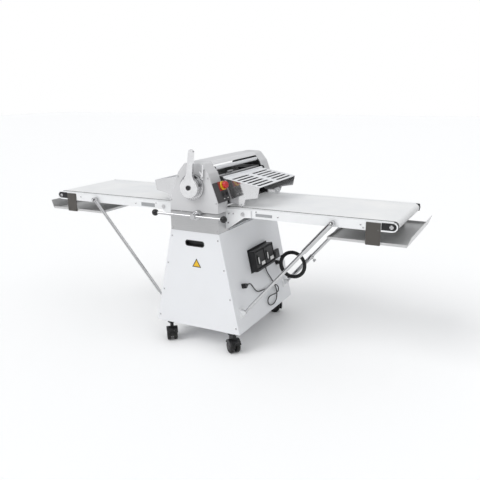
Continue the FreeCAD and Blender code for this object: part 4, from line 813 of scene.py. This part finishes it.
def make_pedal_bars():
    """A white grip bar and a white pad on each pedal."""
    tilt = (0.0, -math.atan(TAPER), 0.0)
    for body, (y0, y1) in PEDALS.items():
        start_block((0.003, 0.012, 0.040), face_point(y0 + 30.0, 466.0, 48.0), tilt)
        finish_bevel(0.0012)
        bar = settle(body + "_bar", body, WHITE_PLASTIC)
        start_block((0.0024, 0.045, 0.020), face_point(y1 - 36.0, 440.0, 46.4), tilt)
        finish_bevel(0.0008)
        pad = settle(body + "_pad", body, WHITE_PLASTIC)


make_pedal_bars()


# ------------------------------------------------------------------ wheels
CASTER_X, CASTER_Y = 208.0, 336.0
AXLE_Z = 37.5
TRAIL = 26.0          # how far the axle lies behind the swivel
HUB_FACE = 30.6       # from the caster's middle to a wheel's outer face
HEADINGS = {"front_left": 128.0, "front_right": 140.0, "rear_left": 0.0, "rear_right": 8.0}


def make_hub_caps():
    """A stepped cap on the outside of every wheel."""
    for name, heading in HEADINGS.items():
        end, side = name.split("_")
        x = -CASTER_X if side == "left" else CASTER_X
        y = -CASTER_Y if end == "front" else CASTER_Y
        turn = math.radians(heading)
        middle = Vector((x - TRAIL * math.cos(turn), y - TRAIL * math.sin(turn), AXLE_Z))
        for label, sign in (("near", -1.0), ("far", 1.0)):
            facing = Vector((-sign * math.sin(turn), sign * math.cos(turn), 0.0))
            start_disc(0.019, 0.0016, at(*(middle + facing * HUB_FACE)), facing, 28)
            edit_faces(lambda face: len(face.verts) > 6)
            bpy.ops.mesh.inset(thickness=0.006)
            leave_edit()
            finish_bevel(0.0004)
            cap = settle("%s_hub_cap_%s" % (name, label), name + "_wheels", DARK_GREY)


make_hub_caps()


# ------------------------------------------------------------------ floor and light
def make_floor():
    deselect()
    bpy.ops.mesh.primitive_plane_add(size=60.0, location=(0.0, 0.0, 0.0))
    floor = bpy.context.object
    floor.name = "studio_floor"
    material, tree, shader, place = new_material("studio_floor")
    shader.inputs["Base Color"].default_value = (0.96, 0.96, 0.96, 1.0)
    shader.inputs["Roughness"].default_value = 0.9
    floor.data.materials.append(material)


def add_sun(name, towards, spread, strength):
    """A distant soft light; towards is the direction from the machine to the light."""
    data = bpy.data.lights.new(name, "SUN")
    data.energy = strength
    data.angle = math.radians(spread)
    light = bpy.data.objects.new(name, data)
    bpy.context.collection.objects.link(light)
    light.rotation_euler = Vector(towards).to_track_quat("Z", "Y").to_euler()


def light_studio():
    """A tent that is bright above, with dark cards low down and at the sides for metal to reflect."""
    world = bpy.data.worlds.new("studio_world")
    bpy.context.scene.world = world
    world.use_nodes = True
    tree = world.node_tree
    tent = tree.nodes["Background"]
    place = tree.nodes.new("ShaderNodeTexCoord")
    split = tree.nodes.new("ShaderNodeSeparateXYZ")
    tree.links.new(place.outputs["Generated"], split.inputs[0])
    low, high = (0.10, 0.10, 0.11, 1.0), (0.84, 0.85, 0.86, 1.0)
    ramp = add_ramp(tree, split.outputs[2], 0.08, 0.40, low, high)
    sideways = add_math(tree, "ABSOLUTE", split.outputs[0])
    open_side, card = (1.0, 1.0, 1.0, 1.0), (0.16, 0.16, 0.17, 1.0)
    cards = add_ramp(tree, sideways, 0.66, 0.80, open_side, card)
    tent_colour = add_mix(tree, 1.0, ramp.outputs["Color"], cards.outputs["Color"], "MULTIPLY")
    rays = tree.nodes.new("ShaderNodeLightPath")
    colour = add_mix(tree, rays.outputs["Is Camera Ray"], tent_colour, (1.0, 1.0, 1.0, 1.0))
    tree.links.new(colour, tent.inputs["Color"])
    tent.inputs["Strength"].default_value = 1.0
    add_sun("key_light", (-0.40, -0.62, 0.67), 40.0, 1.30)
    add_sun("side_light", (0.75, -0.10, 0.35), 60.0, 0.55)
    bpy.context.scene.view_settings.view_transform = "Standard"


make_floor()
light_studio()
